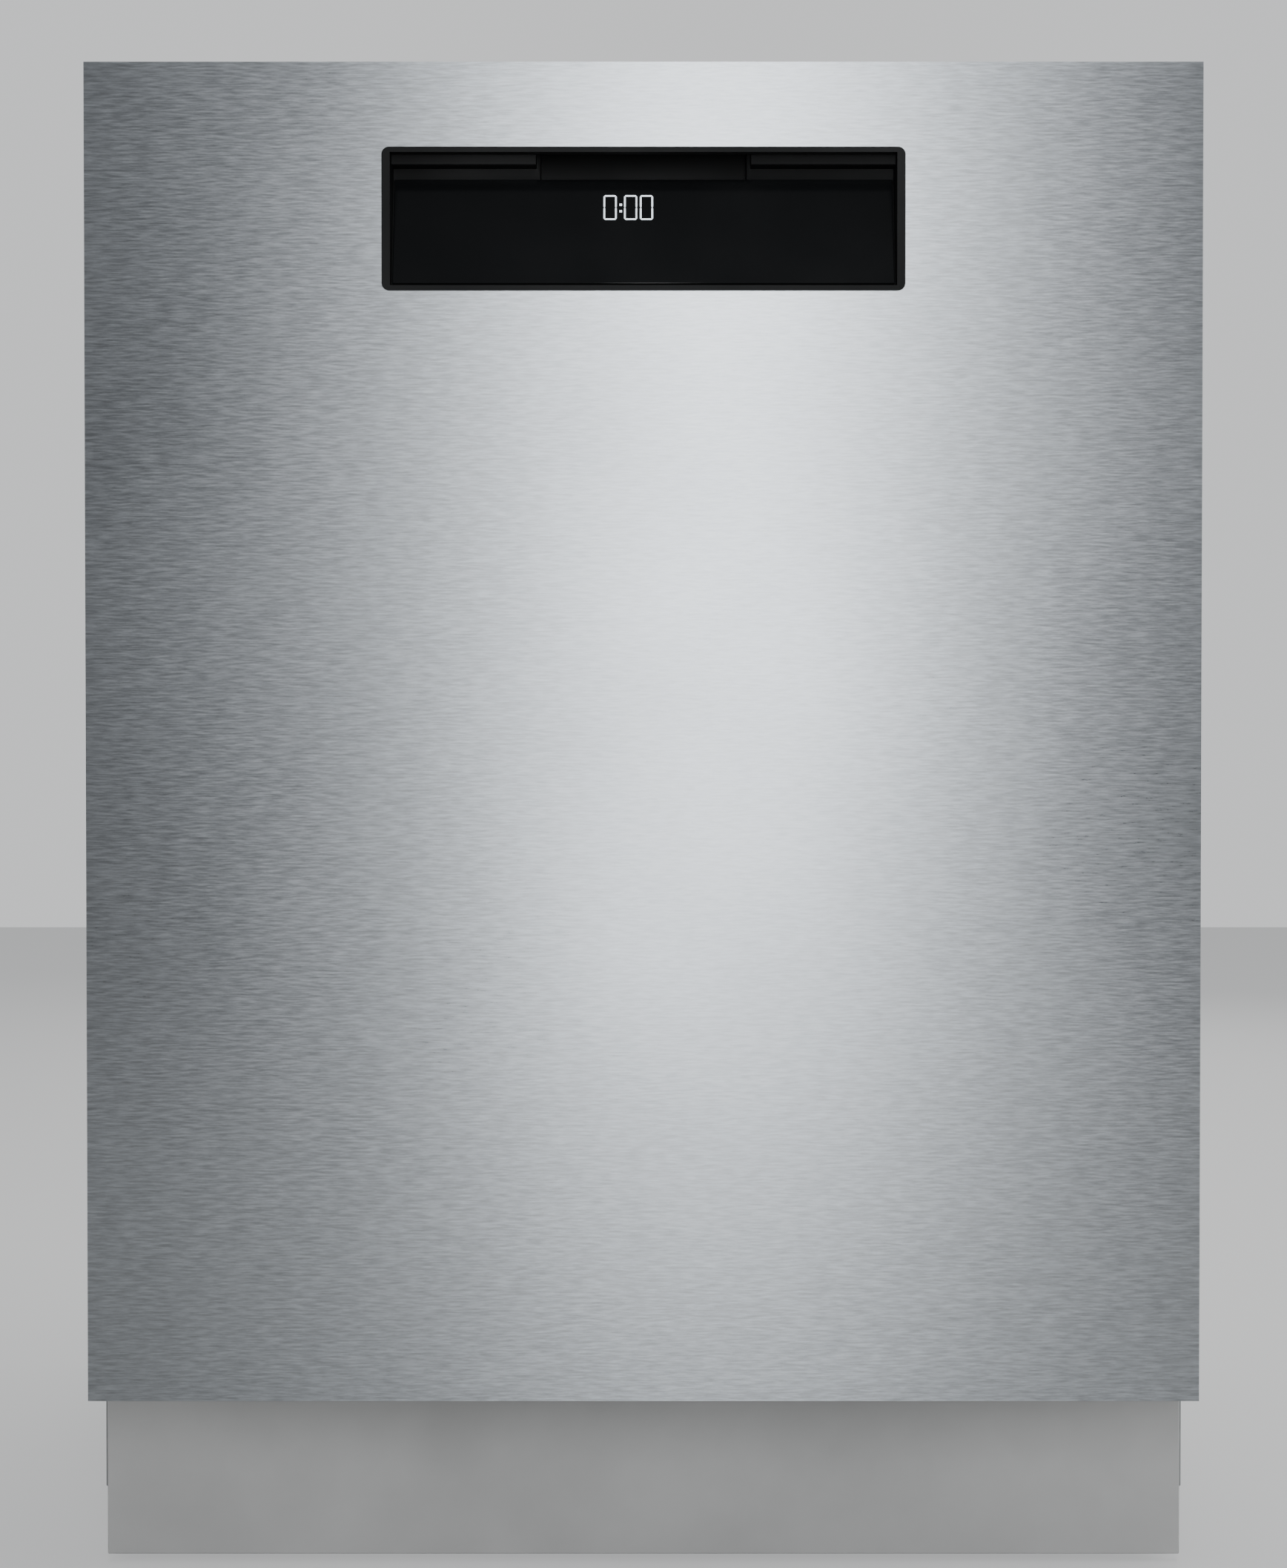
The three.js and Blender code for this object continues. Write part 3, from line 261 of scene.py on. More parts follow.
def surface(name, grids, material, body, node=None):
    """A mesh of one or more grids of points, each (rows, columns, 3). A grid closed round its
    columns repeats its first column at the end, and the repeats are merged."""
    points, faces, base = [], [], 0
    for grid in grids:
        rows, columns = grid.shape[:2]
        index = base + np.arange(rows * columns).reshape(rows, columns)
        quads = np.stack([index[:-1, :-1], index[:-1, 1:], index[1:, 1:], index[1:, :-1]], -1)
        points.append(grid.reshape(-1, 3))
        faces.append(quads.reshape(-1, 4))
        base += rows * columns
    mesh = bpy.data.meshes.new(name)
    mesh.from_pydata(np.concatenate(points).tolist(), [], np.concatenate(faces).tolist())
    shell = bmesh.new()
    shell.from_mesh(mesh)
    bmesh.ops.remove_doubles(shell, verts=shell.verts, dist=1e-6)
    bmesh.ops.dissolve_degenerate(shell, edges=shell.edges, dist=1e-7)
    bmesh.ops.recalc_face_normals(shell, faces=shell.faces)
    shell.to_mesh(mesh)
    shell.free()
    mesh.shade_smooth()
    mesh.set_sharp_from_angle(angle=GRID_SHARP)
    mesh.materials.append(material)
    piece = linked(bpy.data.objects.new(name, mesh))
    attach(piece, body)
    if node:
        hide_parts(node)


def lathed(profile, centre, axis="Z", sides=48):
    """A profile of (radius, height) pairs carried round an axis through centre: each point is
    radius * (cos a, sin a) across the axis and height along it."""
    profile = np.asarray(profile, float)
    angle = np.linspace(0, 2 * np.pi, sides + 1)
    across = profile[:, :1] * np.cos(angle), profile[:, :1] * np.sin(angle)
    along = np.repeat(profile[:, 1:], sides + 1, 1)
    order = {"Z": (across[0], across[1], along), "X": (along, across[0], across[1]),
             "Y": (across[1], along, across[0])}[axis]
    return np.stack(order, -1) + np.asarray(centre, float)


base_black = moulded("base_black", (0.012, 0.012, 0.013), 0.48, 1800, 0.00003)
merged_copy("base_tray", base_black, 0.0012)

foot_grey = moulded("foot_grey", (0.035, 0.035, 0.037), 0.5, 2200)
FOOT_STUD = 0.005
FOOT_THREAD_DEEP = 0.0004
FOOT_PITCH = 0.0015


def plan_middle(node):
    """The middle of a node's box in plan, at the height of the floor."""
    low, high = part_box(node)
    return Vector(((low.x + high.x) / 2, (low.y + high.y) / 2, 0))


for node in ("front_left_foot", "front_right_foot", "rear_left_foot", "rear_right_foot"):
    low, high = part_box(node)
    pad = (high.x - low.x) / 2
    thread_z = np.linspace(0.014, high.z - 0.002, 120)
    thread = [(FOOT_STUD - FOOT_THREAD_DEEP * (1 + math.sin(z * 2 * np.pi / FOOT_PITCH)) / 2, z)
              for z in thread_z]
    profile = [(0, 0), (pad - 0.002, 0), (pad, 0.0015), (pad, 0.006), (pad - 0.002, 0.008), (0.011, 0.0095),
               (0.0085, 0.0125), (FOOT_STUD, 0.0135)] + thread + [(0.0038, high.z), (0, high.z)]
    surface(node + "_turned", [lathed(profile, plan_middle(node), sides=36)], foot_grey, node, node)

kick_white = moulded("kick_white", (0.88, 0.88, 0.87), 0.36, 900, 0.00001, coat=0.1)
merged_copy("kick_plate", kick_white, 0.0008)

# ---------------------------------------------------------------- door front
# One sheet of stainless steel, ground across its width before it was folded. Its edges turn back
# round the door, and the mouth for the pocket is cut out of it.


def grain_group():
    """Ground steel: noise stretched along the grain gives hair lines of slightly different
    roughness, shade and height, and slow noise gives faint wiping marks."""
    group, given, end = finish_group("ground_grain", Stretch="Vector", Colour="Color", Roughness="Float",
                                     Contrast="Float")
    place = object_place(group)
    drawn = add_node(group, "VectorMath", place, given["Stretch"], operation="MULTIPLY")
    hair = add_node(group, "TexNoise", Vector=drawn.outputs["Vector"], Scale=1, Detail=4,
                    Roughness=0.6).outputs["Fac"]
    wiped = add_node(group, "TexNoise", Vector=place, Scale=3.5, Detail=3).outputs["Fac"]
    streaks = added(group, ranged(group, hair, -0.028, 0.028), ranged(group, wiped, -0.02, 0.03))
    lighter = add_node(group, "Math", ranged(group, hair, -0.2, 0.2), given["Contrast"], 1,
                       operation="MULTIPLY_ADD")
    shade = add_node(group, "HueSaturation", Value=lighter.outputs[0], Color=given["Colour"])
    feed(group, end, Colour=shade.outputs["Color"], Roughness=added(group, given["Roughness"], streaks),
         Height=hair)
    return group


ground_grain = grain_group()


def ground_steel(name, colour, roughness, stretch, depth=0.000004, uneven=0.0, contrast=0.4):
    """Steel with a grain. stretch is the noise's fineness along X, Y and Z, low along the grain."""
    made, tree, shader = new_material(name)
    wear(tree, shader, ground_grain, depth, Stretch=stretch, Colour=(*colour, 1), Roughness=roughness,
         Contrast=contrast)
    feed(tree, shader, Metallic=1)
    if uneven:
        tangent = add_node(tree, "Tangent")
        tangent.direction_type, tangent.axis = "RADIAL", "Z"
        feed(tree, shader, Anisotropic=uneven, Anisotropic_Rotation=0.25, Tangent=tangent.outputs["Tangent"])
    return made


door_steel = ground_steel("door_steel", (0.56, 0.59, 0.62), 0.31, (100, 900, 1000), 0.0000022,
                          uneven=0.6, contrast=1.1)
merged_copy("door_front_panel", door_steel, 0.0007, 3)

# ---------------------------------------------------------------- pocket, window and display
# The pocket is a satin black moulding behind the mouth in the steel, its colour darker than the plastic's own
# as painted shade for the deep slot. A tinted window leans back over the display, and above it the fingers go
# into the open middle of the slot, behind the lip.

# Black plastic made darker than its own colour, with its specular lowered: the extra dark is painted shade
# for the deep finger slot.
pocket_black_painted_shade = moulded("pocket_black_painted_shade", (0.007, 0.0075, 0.008), 0.50, 2400, 0.000008)
feed(pocket_black_painted_shade.node_tree, pocket_black_painted_shade.node_tree.nodes["Principled BSDF"], Specular_IOR_Level=0.28)
merged_copy("handle_pocket", pocket_black_painted_shade, 0.0005, 3)

window_black, tree, shader = new_material("window_black")
haze = add_node(tree, "TexNoise", Vector=object_place(tree), Scale=22, Detail=6).outputs["Fac"]
tint = blended(tree, haze, (0.007, 0.008, 0.009, 1), (0.010, 0.011, 0.012, 1))
feed(tree, shader, Base_Color=tint, Roughness=ranged(tree, haze, 0.12, 0.15, 0.35, 0.75))
merged_copy("display_window", window_black, 0.0003, 2)

digit_light, tree, shader = new_material("digit_light")
feed(tree, shader, Base_Color=(0.7, 0.75, 0.8, 1), Emission_Color=(0.85, 0.93, 1.0, 1),
     Emission_Strength=1.6, Roughness=0.5)

DIGIT_TALL = 0.0135
DIGIT_WIDE = 0.0062
STROKE = 0.0009
DIGITS_LEFT = (-0.0210, -0.0100, -0.0015)
DOTS_LEFT = -0.0122
DIGITS_UP = 0.0375
DIGITS_PROUD = 0.00012
WINDOW_BACK = 0.002


def bar_quad(start, end, width):
    """A flat hexagonal bar from start to end, its ends cut to points."""
    start, end = np.array(start, float), np.array(end, float)
    along = (end - start) / np.linalg.norm(end - start)
    side = np.array([-along[1], along[0]]) * width / 2
    tip = along * width / 2
    return np.array([start, start + tip + side, end - tip + side, end, end - tip - side, start + tip - side])


def numeral(left):
    """The six lit bars of a zero whose left edge is at left, as flat outlines."""
    w, h = DIGIT_WIDE, DIGIT_TALL
    corners = ((0, h), (w, h), (w, h / 2), (w, 0), (0, 0), (0, h / 2), (0, h))
    return [bar_quad(a, b, STROKE) + (left, 0) for a, b in zip(corners, corners[1:])]


def dot(left, height):
    half = STROKE * 0.75
    return np.array([(left - half, height - half), (left + half, height - half),
                     (left + half, height + half), (left - half, height + half)])


window_low, window_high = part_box("display_window")
shapes = [bar for left in DIGITS_LEFT for bar in numeral(left)]
shapes += [dot(DOTS_LEFT, DIGIT_TALL * share) for share in (0.34, 0.62)]
lean = math.atan2(window_high.y - window_low.y - WINDOW_BACK, window_high.z - window_low.z)
points, faces = [], []
for outline in shapes:
    x = outline[:, 0]
    up = outline[:, 1] + DIGITS_UP
    y = window_low.y + up * math.sin(lean) - DIGITS_PROUD
    z = window_low.z + up * math.cos(lean)
    faces.append(list(range(len(points), len(points) + len(outline))))
    points += np.stack([x, y, z], -1).tolist()
digits_mesh = bpy.data.meshes.new("display_digits")
digits_mesh.from_pydata(points, [], faces)
digits_mesh.materials.append(digit_light)
digits = linked(bpy.data.objects.new("display_digits", digits_mesh))
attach(digits, "door")

# ---------------------------------------------------------------- control strip, keys and catch
# A black moulding closes the door's top edge. The keys stand a hair proud of it, each with a
# pale inlaid mark, and the catch in its slot hooks on the strike above the tub.

strip_black = moulded("strip_black", (0.016, 0.017, 0.018), 0.42, 2400, 0.000016)
merged_copy("control_strip", strip_black, 0.0005)

key_grey = moulded("key_grey", (0.16, 0.165, 0.17), 0.4, 2600, 0.000012)
key_mark = moulded("key_mark", (0.62, 0.64, 0.65), 0.45)
KEY_DIP = 0.0003
KEY_ROUNDING = 0.0005
MARK = [(0.0022, 0), (0.0022, 0.0001), (0.0016, 0.0001), (0.0016, 0), (0.0022, 0)]


def dished_key(node):
    """A rounded key whose top dips in the middle: height = top - dip * (1 - (2x/w)^2)(1 - (2y/d)^2)."""
    low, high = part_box(node)
    across, deep = np.meshgrid(np.linspace(-1, 1, 25), np.linspace(-1, 1, 13))
    far_out = np.maximum(np.abs(across), np.abs(deep))
    squeeze = 1 - 0.06 * far_out ** 8
    x = (low.x + high.x) / 2 + across * squeeze * (high.x - low.x) / 2
    y = (low.y + high.y) / 2 + deep * squeeze * (high.y - low.y) / 2
    z = high.z - KEY_DIP * (1 - across ** 2) * (1 - deep ** 2) - KEY_ROUNDING * far_out ** 12
    top = np.stack([x, y, z], -1)
    rim = np.concatenate([top[0], top[1:, -1], top[-1, -2::-1], top[-2::-1, 0]])
    foot, skirt = top[::-1].copy(), rim.copy()
    foot[..., 2] = skirt[:, 2] = low.z
    surface(node + "_dished", [top, np.stack([rim, skirt]), foot], key_grey, node, node)


for node in ("power_button", "program_button", "start_button"):
    dished_key(node)
    low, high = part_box(node)
    middle = ((low.x + high.x) / 2, (low.y + high.y) / 2, high.z - KEY_DIP)
    surface(node + "_mark", [lathed(MARK, middle, sides=24)], key_mark, node)

catch_steel = ground_steel("catch_steel", (0.50, 0.50, 0.49), 0.34, (300, 300, 30), 0.000004)
for node in ("latch_lever", "door_strike"):
    merged_copy(node, catch_steel, 0.0004)

# ---------------------------------------------------------------- inner door
# The liner is pressed from one bright sheet. A raised frame stiffens it, two tracks carry the
# rack's wheels, and the dispenser is clipped into its opening.

liner_bright = ground_steel("liner_bright", (0.68, 0.69, 0.70), 0.33, (60, 1500, 420), 0.0000007)
merged_copy("inner_door_panel", liner_bright, 0.0009, 3)
liner_low, liner_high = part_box("inner_door_panel")
LINER_FACE = -0.225
BEAD_RISE = 0.0010
BEAD_HALF = 0.0045
BEAD_UNDER = 0.0002


def ring_path(half_wide, half_tall, corner, count=16):
    """A closed rounded rectangle round (0, 0): four quarter circles joined by straight sides."""
    turn = np.linspace(0, np.pi / 2, count)
    arcs = []
    for quarter, (right, up) in enumerate(((1, 1), (-1, 1), (-1, -1), (1, -1))):
        angle = turn + quarter * np.pi / 2
        arcs.append(np.stack([right * (half_wide - corner) + corner * np.cos(angle),
                              up * (half_tall - corner) + corner * np.sin(angle)], -1))
    path = np.concatenate(arcs)
    return np.concatenate([path, path[:1]])


def outward(path):
    """Unit vectors square to a closed flat path, pointing to its right."""
    ahead = np.roll(path[:-1], -1, 0) - np.roll(path[:-1], 1, 0)
    ahead = np.concatenate([ahead, ahead[:1]])
    ahead /= np.linalg.norm(ahead, axis=1, keepdims=True)
    return np.stack([ahead[:, 1], -ahead[:, 0]], -1)


def pressed_bead(name, facing, path, centre, face, rise, half, material, body, under=-BEAD_UNDER):
    """A pressed bead on a wall that faces along X or Y: across it the height is rise * cos^2, and
    it follows a closed path in the wall's plane. It is a closed ring, its underside under off
    the face."""
    across = np.linspace(-1, 1, 9)[:, None]
    side = outward(path)
    along = centre[0] + path[:, 0] + side[:, 0] * across * half
    z = centre[1] + path[:, 1] + side[:, 1] * across * half
    out = face + rise * np.cos(across * np.pi / 2) ** 2 + np.zeros_like(along)
    turned = [1, 0, 2] if facing == "X" else [0, 1, 2]
    top = np.stack([along, out, z], -1)[..., turned]
    back = np.stack([along[[-1, 0]], np.full((2, len(path)), face + under), z[[-1, 0]]], -1)[..., turned]
    surface(name, [np.concatenate([top, back, top[:1]])], material, body)


frame_z = (liner_low.z + liner_high.z) / 2 + 0.018
for word, oblong, height in (("frame", (0.262, 0.285, 0.03), frame_z), ("lower", (0.17, 0.055, 0.02), 0.30),
                             ("upper", (0.17, 0.045, 0.02), 0.672)):
    pressed_bead(f"liner_{word}_bead", "Y", ring_path(*oblong), (0, height), LINER_FACE, BEAD_RISE, BEAD_HALF,
                 liner_bright, "door")

dispenser_grey = moulded("dispenser_grey", (0.22, 0.23, 0.24), 0.4, 2200, 0.00002)
merged_copy("dispenser_body", dispenser_grey, 0.0009, 3)
lid_pale = moulded("lid_pale", (0.60, 0.61, 0.61), 0.36, 2200, 0.00002)
merged_copy("detergent_lid", lid_pale, 0.0007, 3)
rinse_blue = moulded("rinse_blue", (0.20, 0.27, 0.34), 0.38, 2200, 0.00002)
merged_copy("rinse_aid_cap", rinse_blue, 0.0007, 3)

seal_black = moulded("seal_black", (0.018, 0.018, 0.019), 0.62, 1400, 0.00003)
merged_copy("lower_door_seal", seal_black, 0.0008, 3)
merged_copy("tub_gasket", seal_black, 0.0012, 3)

hinge_zinc = ground_steel("hinge_zinc", (0.52, 0.52, 0.50), 0.42, (120, 120, 120), 0.00001)
for node in ("left_hinge_arm", "right_hinge_arm", "left_hinge_bracket", "right_hinge_bracket"):
    merged_copy(node, hinge_zinc, 0.0004)

# ---------------------------------------------------------------- tub
# The tub is drawn and welded from thin stainless sheet. Pressed beads stiffen its walls, and the
# front flange carries the gasket.

tub_bright = ground_steel("tub_bright", (0.68, 0.69, 0.70), 0.30, (900, 900, 40), 0.0000008)
merged_copy("tub", tub_bright, 0.0010, 2)
tub_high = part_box("tub")[1]
WALL = 0.0012
CASING_GAP = 0.014
TUB_BEAD_RISE = 0.0012
TUB_BEAD_HALF = 0.006

for side, word in ((-1, "left"), (1, "right")):
    wall_x = side * (tub_high.x - CASING_GAP - WALL)
    for level, tall, height in (("low", 0.055, 0.42), ("high", 0.06, 0.68)):
        pressed_bead(f"tub_bead_{level}_{word}", "X", ring_path(0.19, tall, 0.03), (0.02, height), wall_x,
                     -side * TUB_BEAD_RISE, TUB_BEAD_HALF, tub_bright, "cabinet",
                     under=side * BEAD_UNDER)
for row, height in enumerate((0.30, 0.66)):
    for side, word in ((-1, "left"), (1, "right")):
        pressed_bead(f"tub_rear_bead_{row}_{word}", "Y", ring_path(0.085, 0.06, 0.03), (side * 0.15, height),
                     tub_high.y - WALL, -TUB_BEAD_RISE, TUB_BEAD_HALF, tub_bright, "cabinet")

# ---------------------------------------------------------------- casing
# Side, top and rear sheets of zinc-coated steel, spangled and dull. Folded ribs keep them from
# drumming, and small screws hold them to the base.

zinc, tree, shader = new_material("zinc_sheet")
flakes = add_node(tree, "TexVoronoi", Vector=object_place(tree), Scale=140, Randomness=1).outputs["Color"]
spangle = blended(tree, flakes, (0.50, 0.515, 0.525, 1), (0.56, 0.57, 0.58, 1))
feed(tree, shader, Base_Color=spangle, Roughness=ranged(tree, flakes, 0.44, 0.52, 0, 1), Metallic=0.85)
for node in ("left_side_panel", "right_side_panel", "top_cover", "rear_cover"):
    merged_copy(node, zinc, 0.0005)

RIB_PROUD = 0.0008


def pressed_rib(name, corner, along, across, long, wide, outwards):
    """A shallow rounded rib standing RIB_PROUD off a sheet: a flat-topped oblong whose edge falls
    away as a quarter wave. along and across are unit directions, outwards the sheet's normal."""
    t = np.linspace(0, 2 * np.pi, 49)
    corner, along, across, outwards = (np.array(v, float) for v in (corner, along, across, outwards))
    half = wide / 2
    ends = np.sign(np.cos(t)) * (long / 2 - half)
    rings = []
    for share, lift in ((1, -0.2), (1, 0), (0.86, 0.45), (0.7, 0.85), (0.5, 1), (0, 1)):
        u = ends + half * share * np.cos(t)
        v = half * share * np.sin(t)
        rings.append(corner + u[:, None] * along + v[:, None] * across + outwards * RIB_PROUD * lift)
    bottom = np.stack([np.broadcast_to(rings[0].mean(0), rings[0].shape), rings[0]])
    surface(name, [np.stack(rings), bottom], zinc, "cabinet")


rear_low, rear_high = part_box("rear_cover")
for i, x in enumerate(np.linspace(-0.2, 0.2, 5)):
    pressed_rib(f"rear_rib_{i}", (x, rear_high.y, (rear_low.z + rear_high.z) / 2), (0, 0, 1), (1, 0, 0),
                0.5, 0.014, (0, 1, 0))

SCREW_RADIUS = 0.0038
SCREW_HEAD = 0.0019
SLOT_HALF, SLOT_REACH, SLOT_DEEP = 0.11, 0.62, 0.45
screw_zinc = ground_steel("screw_zinc", (0.55, 0.54, 0.50), 0.32, (400, 400, 400), 0.000004)


def screw(name, place, facing):
    """A pan-head screw: a dome of revolution, sqrt(1 - 0.55 r^2) high, with a cross slot that dips
    by depth * max(0, 1 - min(|x|, |y|) / half width) and runs out at the slot's reach."""
    angle = np.linspace(0, 2 * np.pi, 49)
    reach = np.array([0, 0.12, 0.3, 0.45, 0.6, 0.8, 0.93, 1.0, 1.0])
    dome = np.sqrt(np.clip(1 - 0.55 * reach ** 2, 0, 1))
    dome[-1] = 0
    u = reach[:, None] * np.cos(angle)
    v = reach[:, None] * np.sin(angle)
    arm = np.minimum(np.abs(u), np.abs(v))
    cross = np.clip(1 - arm / SLOT_HALF, 0, 1) * np.clip((SLOT_REACH - reach[:, None]) / 0.1, 0, 1)
    h = (dome[:, None] - SLOT_DEEP * cross) * SCREW_HEAD * 0.9
    facing = np.array(facing, float)
    first = np.cross(facing, (0.3, 0.5, 0.8))
    first /= np.linalg.norm(first)
    second = np.cross(facing, first)
    grid = (np.array(place, float) + SCREW_RADIUS * (u[..., None] * first + v[..., None] * second)
            + h[..., None] * facing)
    surface(name, [grid], screw_zinc, "cabinet")


for i, x in enumerate((-0.27, -0.09, 0.09, 0.27)):
    for j, z in enumerate((rear_low.z + 0.012, rear_high.z - 0.014)):
        screw(f"rear_screw_{i}_{j}", (x, rear_high.y, z), (0, 1, 0))

# ---------------------------------------------------------------- hydraulics
# Black glass-filled housings in the base, white tanks, and the grey feed pipe up the tub's rear
# wall. The inlet has a threaded end for its hose and the outlet a ribbed spigot.

sump_black = moulded("sump_black", (0.02, 0.02, 0.021), 0.5, 1500, 0.00003)
for node in ("sump", "circulation_pump", "drain_pump"):
    merged_copy(node, sump_black, 0.0012)
tank_white = moulded("tank_white", (0.66, 0.66, 0.64), 0.42, 1800, 0.00002)
for node in ("softener_tank", "air_break"):
    merged_copy(node, tank_white, 0.0020, 3)
arm_grey = moulded("arm_grey", (0.27, 0.285, 0.30), 0.4, 2200, 0.00002)
merged_copy("spray_feed_pipe", arm_grey, 0.0028, 3)

valve_low, valve_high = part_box("water_inlet_valve")
VALVE_Z = 0.080
CONNECTOR = 0.0130
CONNECTOR_ROOT = CONNECTOR - 0.0006
THREAD_DEEP = 0.0006
THREAD_PITCH = 0.0018
thread_y = np.linspace(valve_high.y - 0.0125, valve_high.y - 0.0015, 140)
thread = [(CONNECTOR + THREAD_DEEP * (0.5 - 0.5 * math.cos((y - thread_y[0]) * 2 * np.pi / THREAD_PITCH)), y)
          for y in thread_y]
thread = [(CONNECTOR_ROOT, thread_y[0]), *thread, (CONNECTOR_ROOT, thread_y[-1]),
          (CONNECTOR_ROOT, thread_y[0])]
surface("inlet_thread", [lathed(thread, ((valve_low.x + valve_high.x) / 2, 0, VALVE_Z), "Y", 40)], tank_white,
        "cabinet")
merged_copy("water_inlet_valve", tank_white, 0.0012)

outlet_low, outlet_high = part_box("drain_outlet")
outlet = ((outlet_low.x + outlet_high.x) / 2, 0, VALVE_Z)
spigot = [(0, outlet_low.y + 0.012)]
for i in range(4):
    y = outlet_high.y - 0.020 + 0.0048 * i
    spigot += [(0.0084, y), (0.0098, y + 0.0008), (0.0084, y + 0.0040)]
spigot += [(0.0080, outlet_high.y), (0.0060, outlet_high.y), (0.0060, outlet_high.y - 0.015),
           (0, outlet_high.y - 0.015)]
sleeve = [(0, outlet_low.y), (0.0155, outlet_low.y), (0.0155, outlet_low.y + 0.016),
          (0.0098, outlet_low.y + 0.017), (0, outlet_low.y + 0.017)]
surface("drain_spigot", [lathed(profile, outlet, "Y", 36) for profile in (spigot, sleeve)], arm_grey,
        "cabinet", "drain_outlet")

# ---------------------------------------------------------------- springs
# Two oiled coil springs lie along the base and balance the door through its hinges.

spring_oiled = ground_steel("spring_oiled", (0.26, 0.27, 0.28), 0.3, (500, 500, 500), 0.000004)


def tube(path, radius, sides=8, closed=False):
    """A round wire along a path: rings of points square to the path's direction. Each ring's
    first direction is the last one's with its part along the path taken away."""
    path = np.asarray(path, float)
    if closed:
        ahead = np.roll(path, -1, 0) - np.roll(path, 1, 0)
    else:
        ahead = np.gradient(path, axis=0)
    ahead /= np.linalg.norm(ahead, axis=1, keepdims=True)
    start = np.cross(ahead[0], (0.31, 0.53, 0.79))
    side = [start / np.linalg.norm(start)]
    for step in ahead[1:]:
        left = side[-1] - step * (side[-1] @ step)
        side.append(left / np.linalg.norm(left))
    side = np.array(side)
    up = np.cross(ahead, side)
    angle = np.linspace(0, 2 * np.pi, sides + 1)
    grid = (path[:, None] + radius * (np.cos(angle)[None, :, None] * side[:, None]
                                      + np.sin(angle)[None, :, None] * up[:, None]))
    if closed:
        return np.concatenate([grid, grid[:1]])
    caps = [np.broadcast_to(path[i], grid[i].shape)[None] for i in (0, -1)]
    return np.concatenate([caps[0], grid, caps[1]])


SPRING_WIRE = 0.0015
SPRING_TURNS = 62
for word in ("left", "right"):
    low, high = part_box(word + "_door_spring")
    middle = (low + high) / 2
    coil_radius = (high.x - low.x) / 2 - SPRING_WIRE
    turn = np.linspace(0, SPRING_TURNS * 2 * np.pi, SPRING_TURNS * 14)
    helix = np.stack([middle.x + coil_radius * np.cos(turn),
                      np.linspace(low.y + SPRING_WIRE, high.y - SPRING_WIRE, len(turn)),
                      middle.z + coil_radius * np.sin(turn)], -1)
    surface(word + "_spring_coil", [tube(helix, SPRING_WIRE, 6)], spring_oiled, "cabinet",
            word + "_door_spring")

# ---------------------------------------------------------------- spray arms
# Each arm is two welded shells of grey plastic with a hub, thin at its tips. Its nozzles lie off
# centre along the blades, so the water turns it.


BLADE_MIDDLE = 0.0070
BLADE_WIDE = 0.016
BLADE_THICK = 0.0065
BLADE_SWEEP = 0.004
NOZZLE_OFF = 0.0035
NOZZLES = (0.34, 0.5, 0.66, 0.82, 0.93, -0.42, -0.58, -0.74, -0.9)
HUB = [(0, 0), (0.0215, 0), (0.0235, 0.002), (0.0235, 0.0125), (0.021, 0.0155), (0.0125, 0.0168), (0, 0.0168)]
EYE = [(0.0040, -0.0015), (0.0034, 0.0004), (0.0020, 0.0004), (0.0012, -0.0012), (0, -0.0012)]


def squared(wave, power):
    """A sine or cosine raised to a power with its sign kept, which squares a circle off."""
    return np.sign(wave) * np.abs(wave) ** power


def spray_arm(node, body, up=1):
    """A blade whose half width is w * (1 - 0.35 s^2) and whose crown is an ellipse across it, with
    s running from -1 to 1 along it. The hub is turned, and each nozzle is a small raised eye."""
    low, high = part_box(node)
    centre = plan_middle(node)
    reach = (high.x - low.x) / 2
    base = low.z if up > 0 else high.z
    s = np.linspace(-1, 1, 61)[:, None]
    end = np.sqrt(np.clip(1 - np.abs(s) ** 26, 0, 1))
    half = BLADE_WIDE * (1 - 0.35 * s ** 2) * end
    thick = BLADE_THICK * (1 - 0.3 * s ** 2) * end
    angle = np.linspace(0, 2 * np.pi, 29)
    x = centre.x + reach * s + np.zeros_like(angle)
    y = centre.y + half * squared(np.cos(angle), 0.8) + BLADE_SWEEP * np.sin(s * np.pi) * (1 - np.abs(s))
    z = base + up * (BLADE_MIDDLE + thick * squared(np.sin(angle), 0.7))
    grids = [np.stack([x, y, z], -1), lathed([(r, base + up * h) for r, h in HUB], centre, sides=40)]
    for k, share in enumerate(NOZZLES):
        top = base + up * (BLADE_MIDDLE + BLADE_THICK * (1 - 0.3 * share ** 2))
        place = (centre.x + reach * share, centre.y + NOZZLE_OFF * (1 if k % 2 else -1), 0)
        grids.append(lathed([(r, top + up * h) for r, h in EYE], place, sides=14))
    surface(node + "_shells", grids, arm_grey, body, node)


spray_arm("lower_spray_arm", "lower_arm")
spray_arm("upper_spray_arm", "upper_arm")
spray_arm("ceiling_sprayer", "ceiling_arm", -1)

# ---------------------------------------------------------------- filters and salt cap
# A perforated steel plate lies round the fine filter's cup, whose bar is turned by hand to free
# it. The softener's cap screws into its neck beside them.

filter_steel, tree, shader = new_material("filter_steel")
# The holes are not cut: each is a near-black spot, painted shade for the dark seen through a hole, with a
# bump round its edge.
holes = add_node(tree, "TexVoronoi", Vector=object_place(tree), Scale=330, Randomness=0.12)
edge = ranged(tree, holes.outputs["Distance"], 0, 1, 0.30, 0.36)
steel_and_painted_shade_holes = blended(tree, edge, (0.01, 0.01, 0.01, 1), (0.58, 0.59, 0.60, 1))
feed(tree, shader, Base_Color=steel_and_painted_shade_holes, Metallic=1, Roughness=0.3)
add_bump(tree, shader, edge, 0.0003)
merged_copy("coarse_filter", filter_steel, 0.0003)

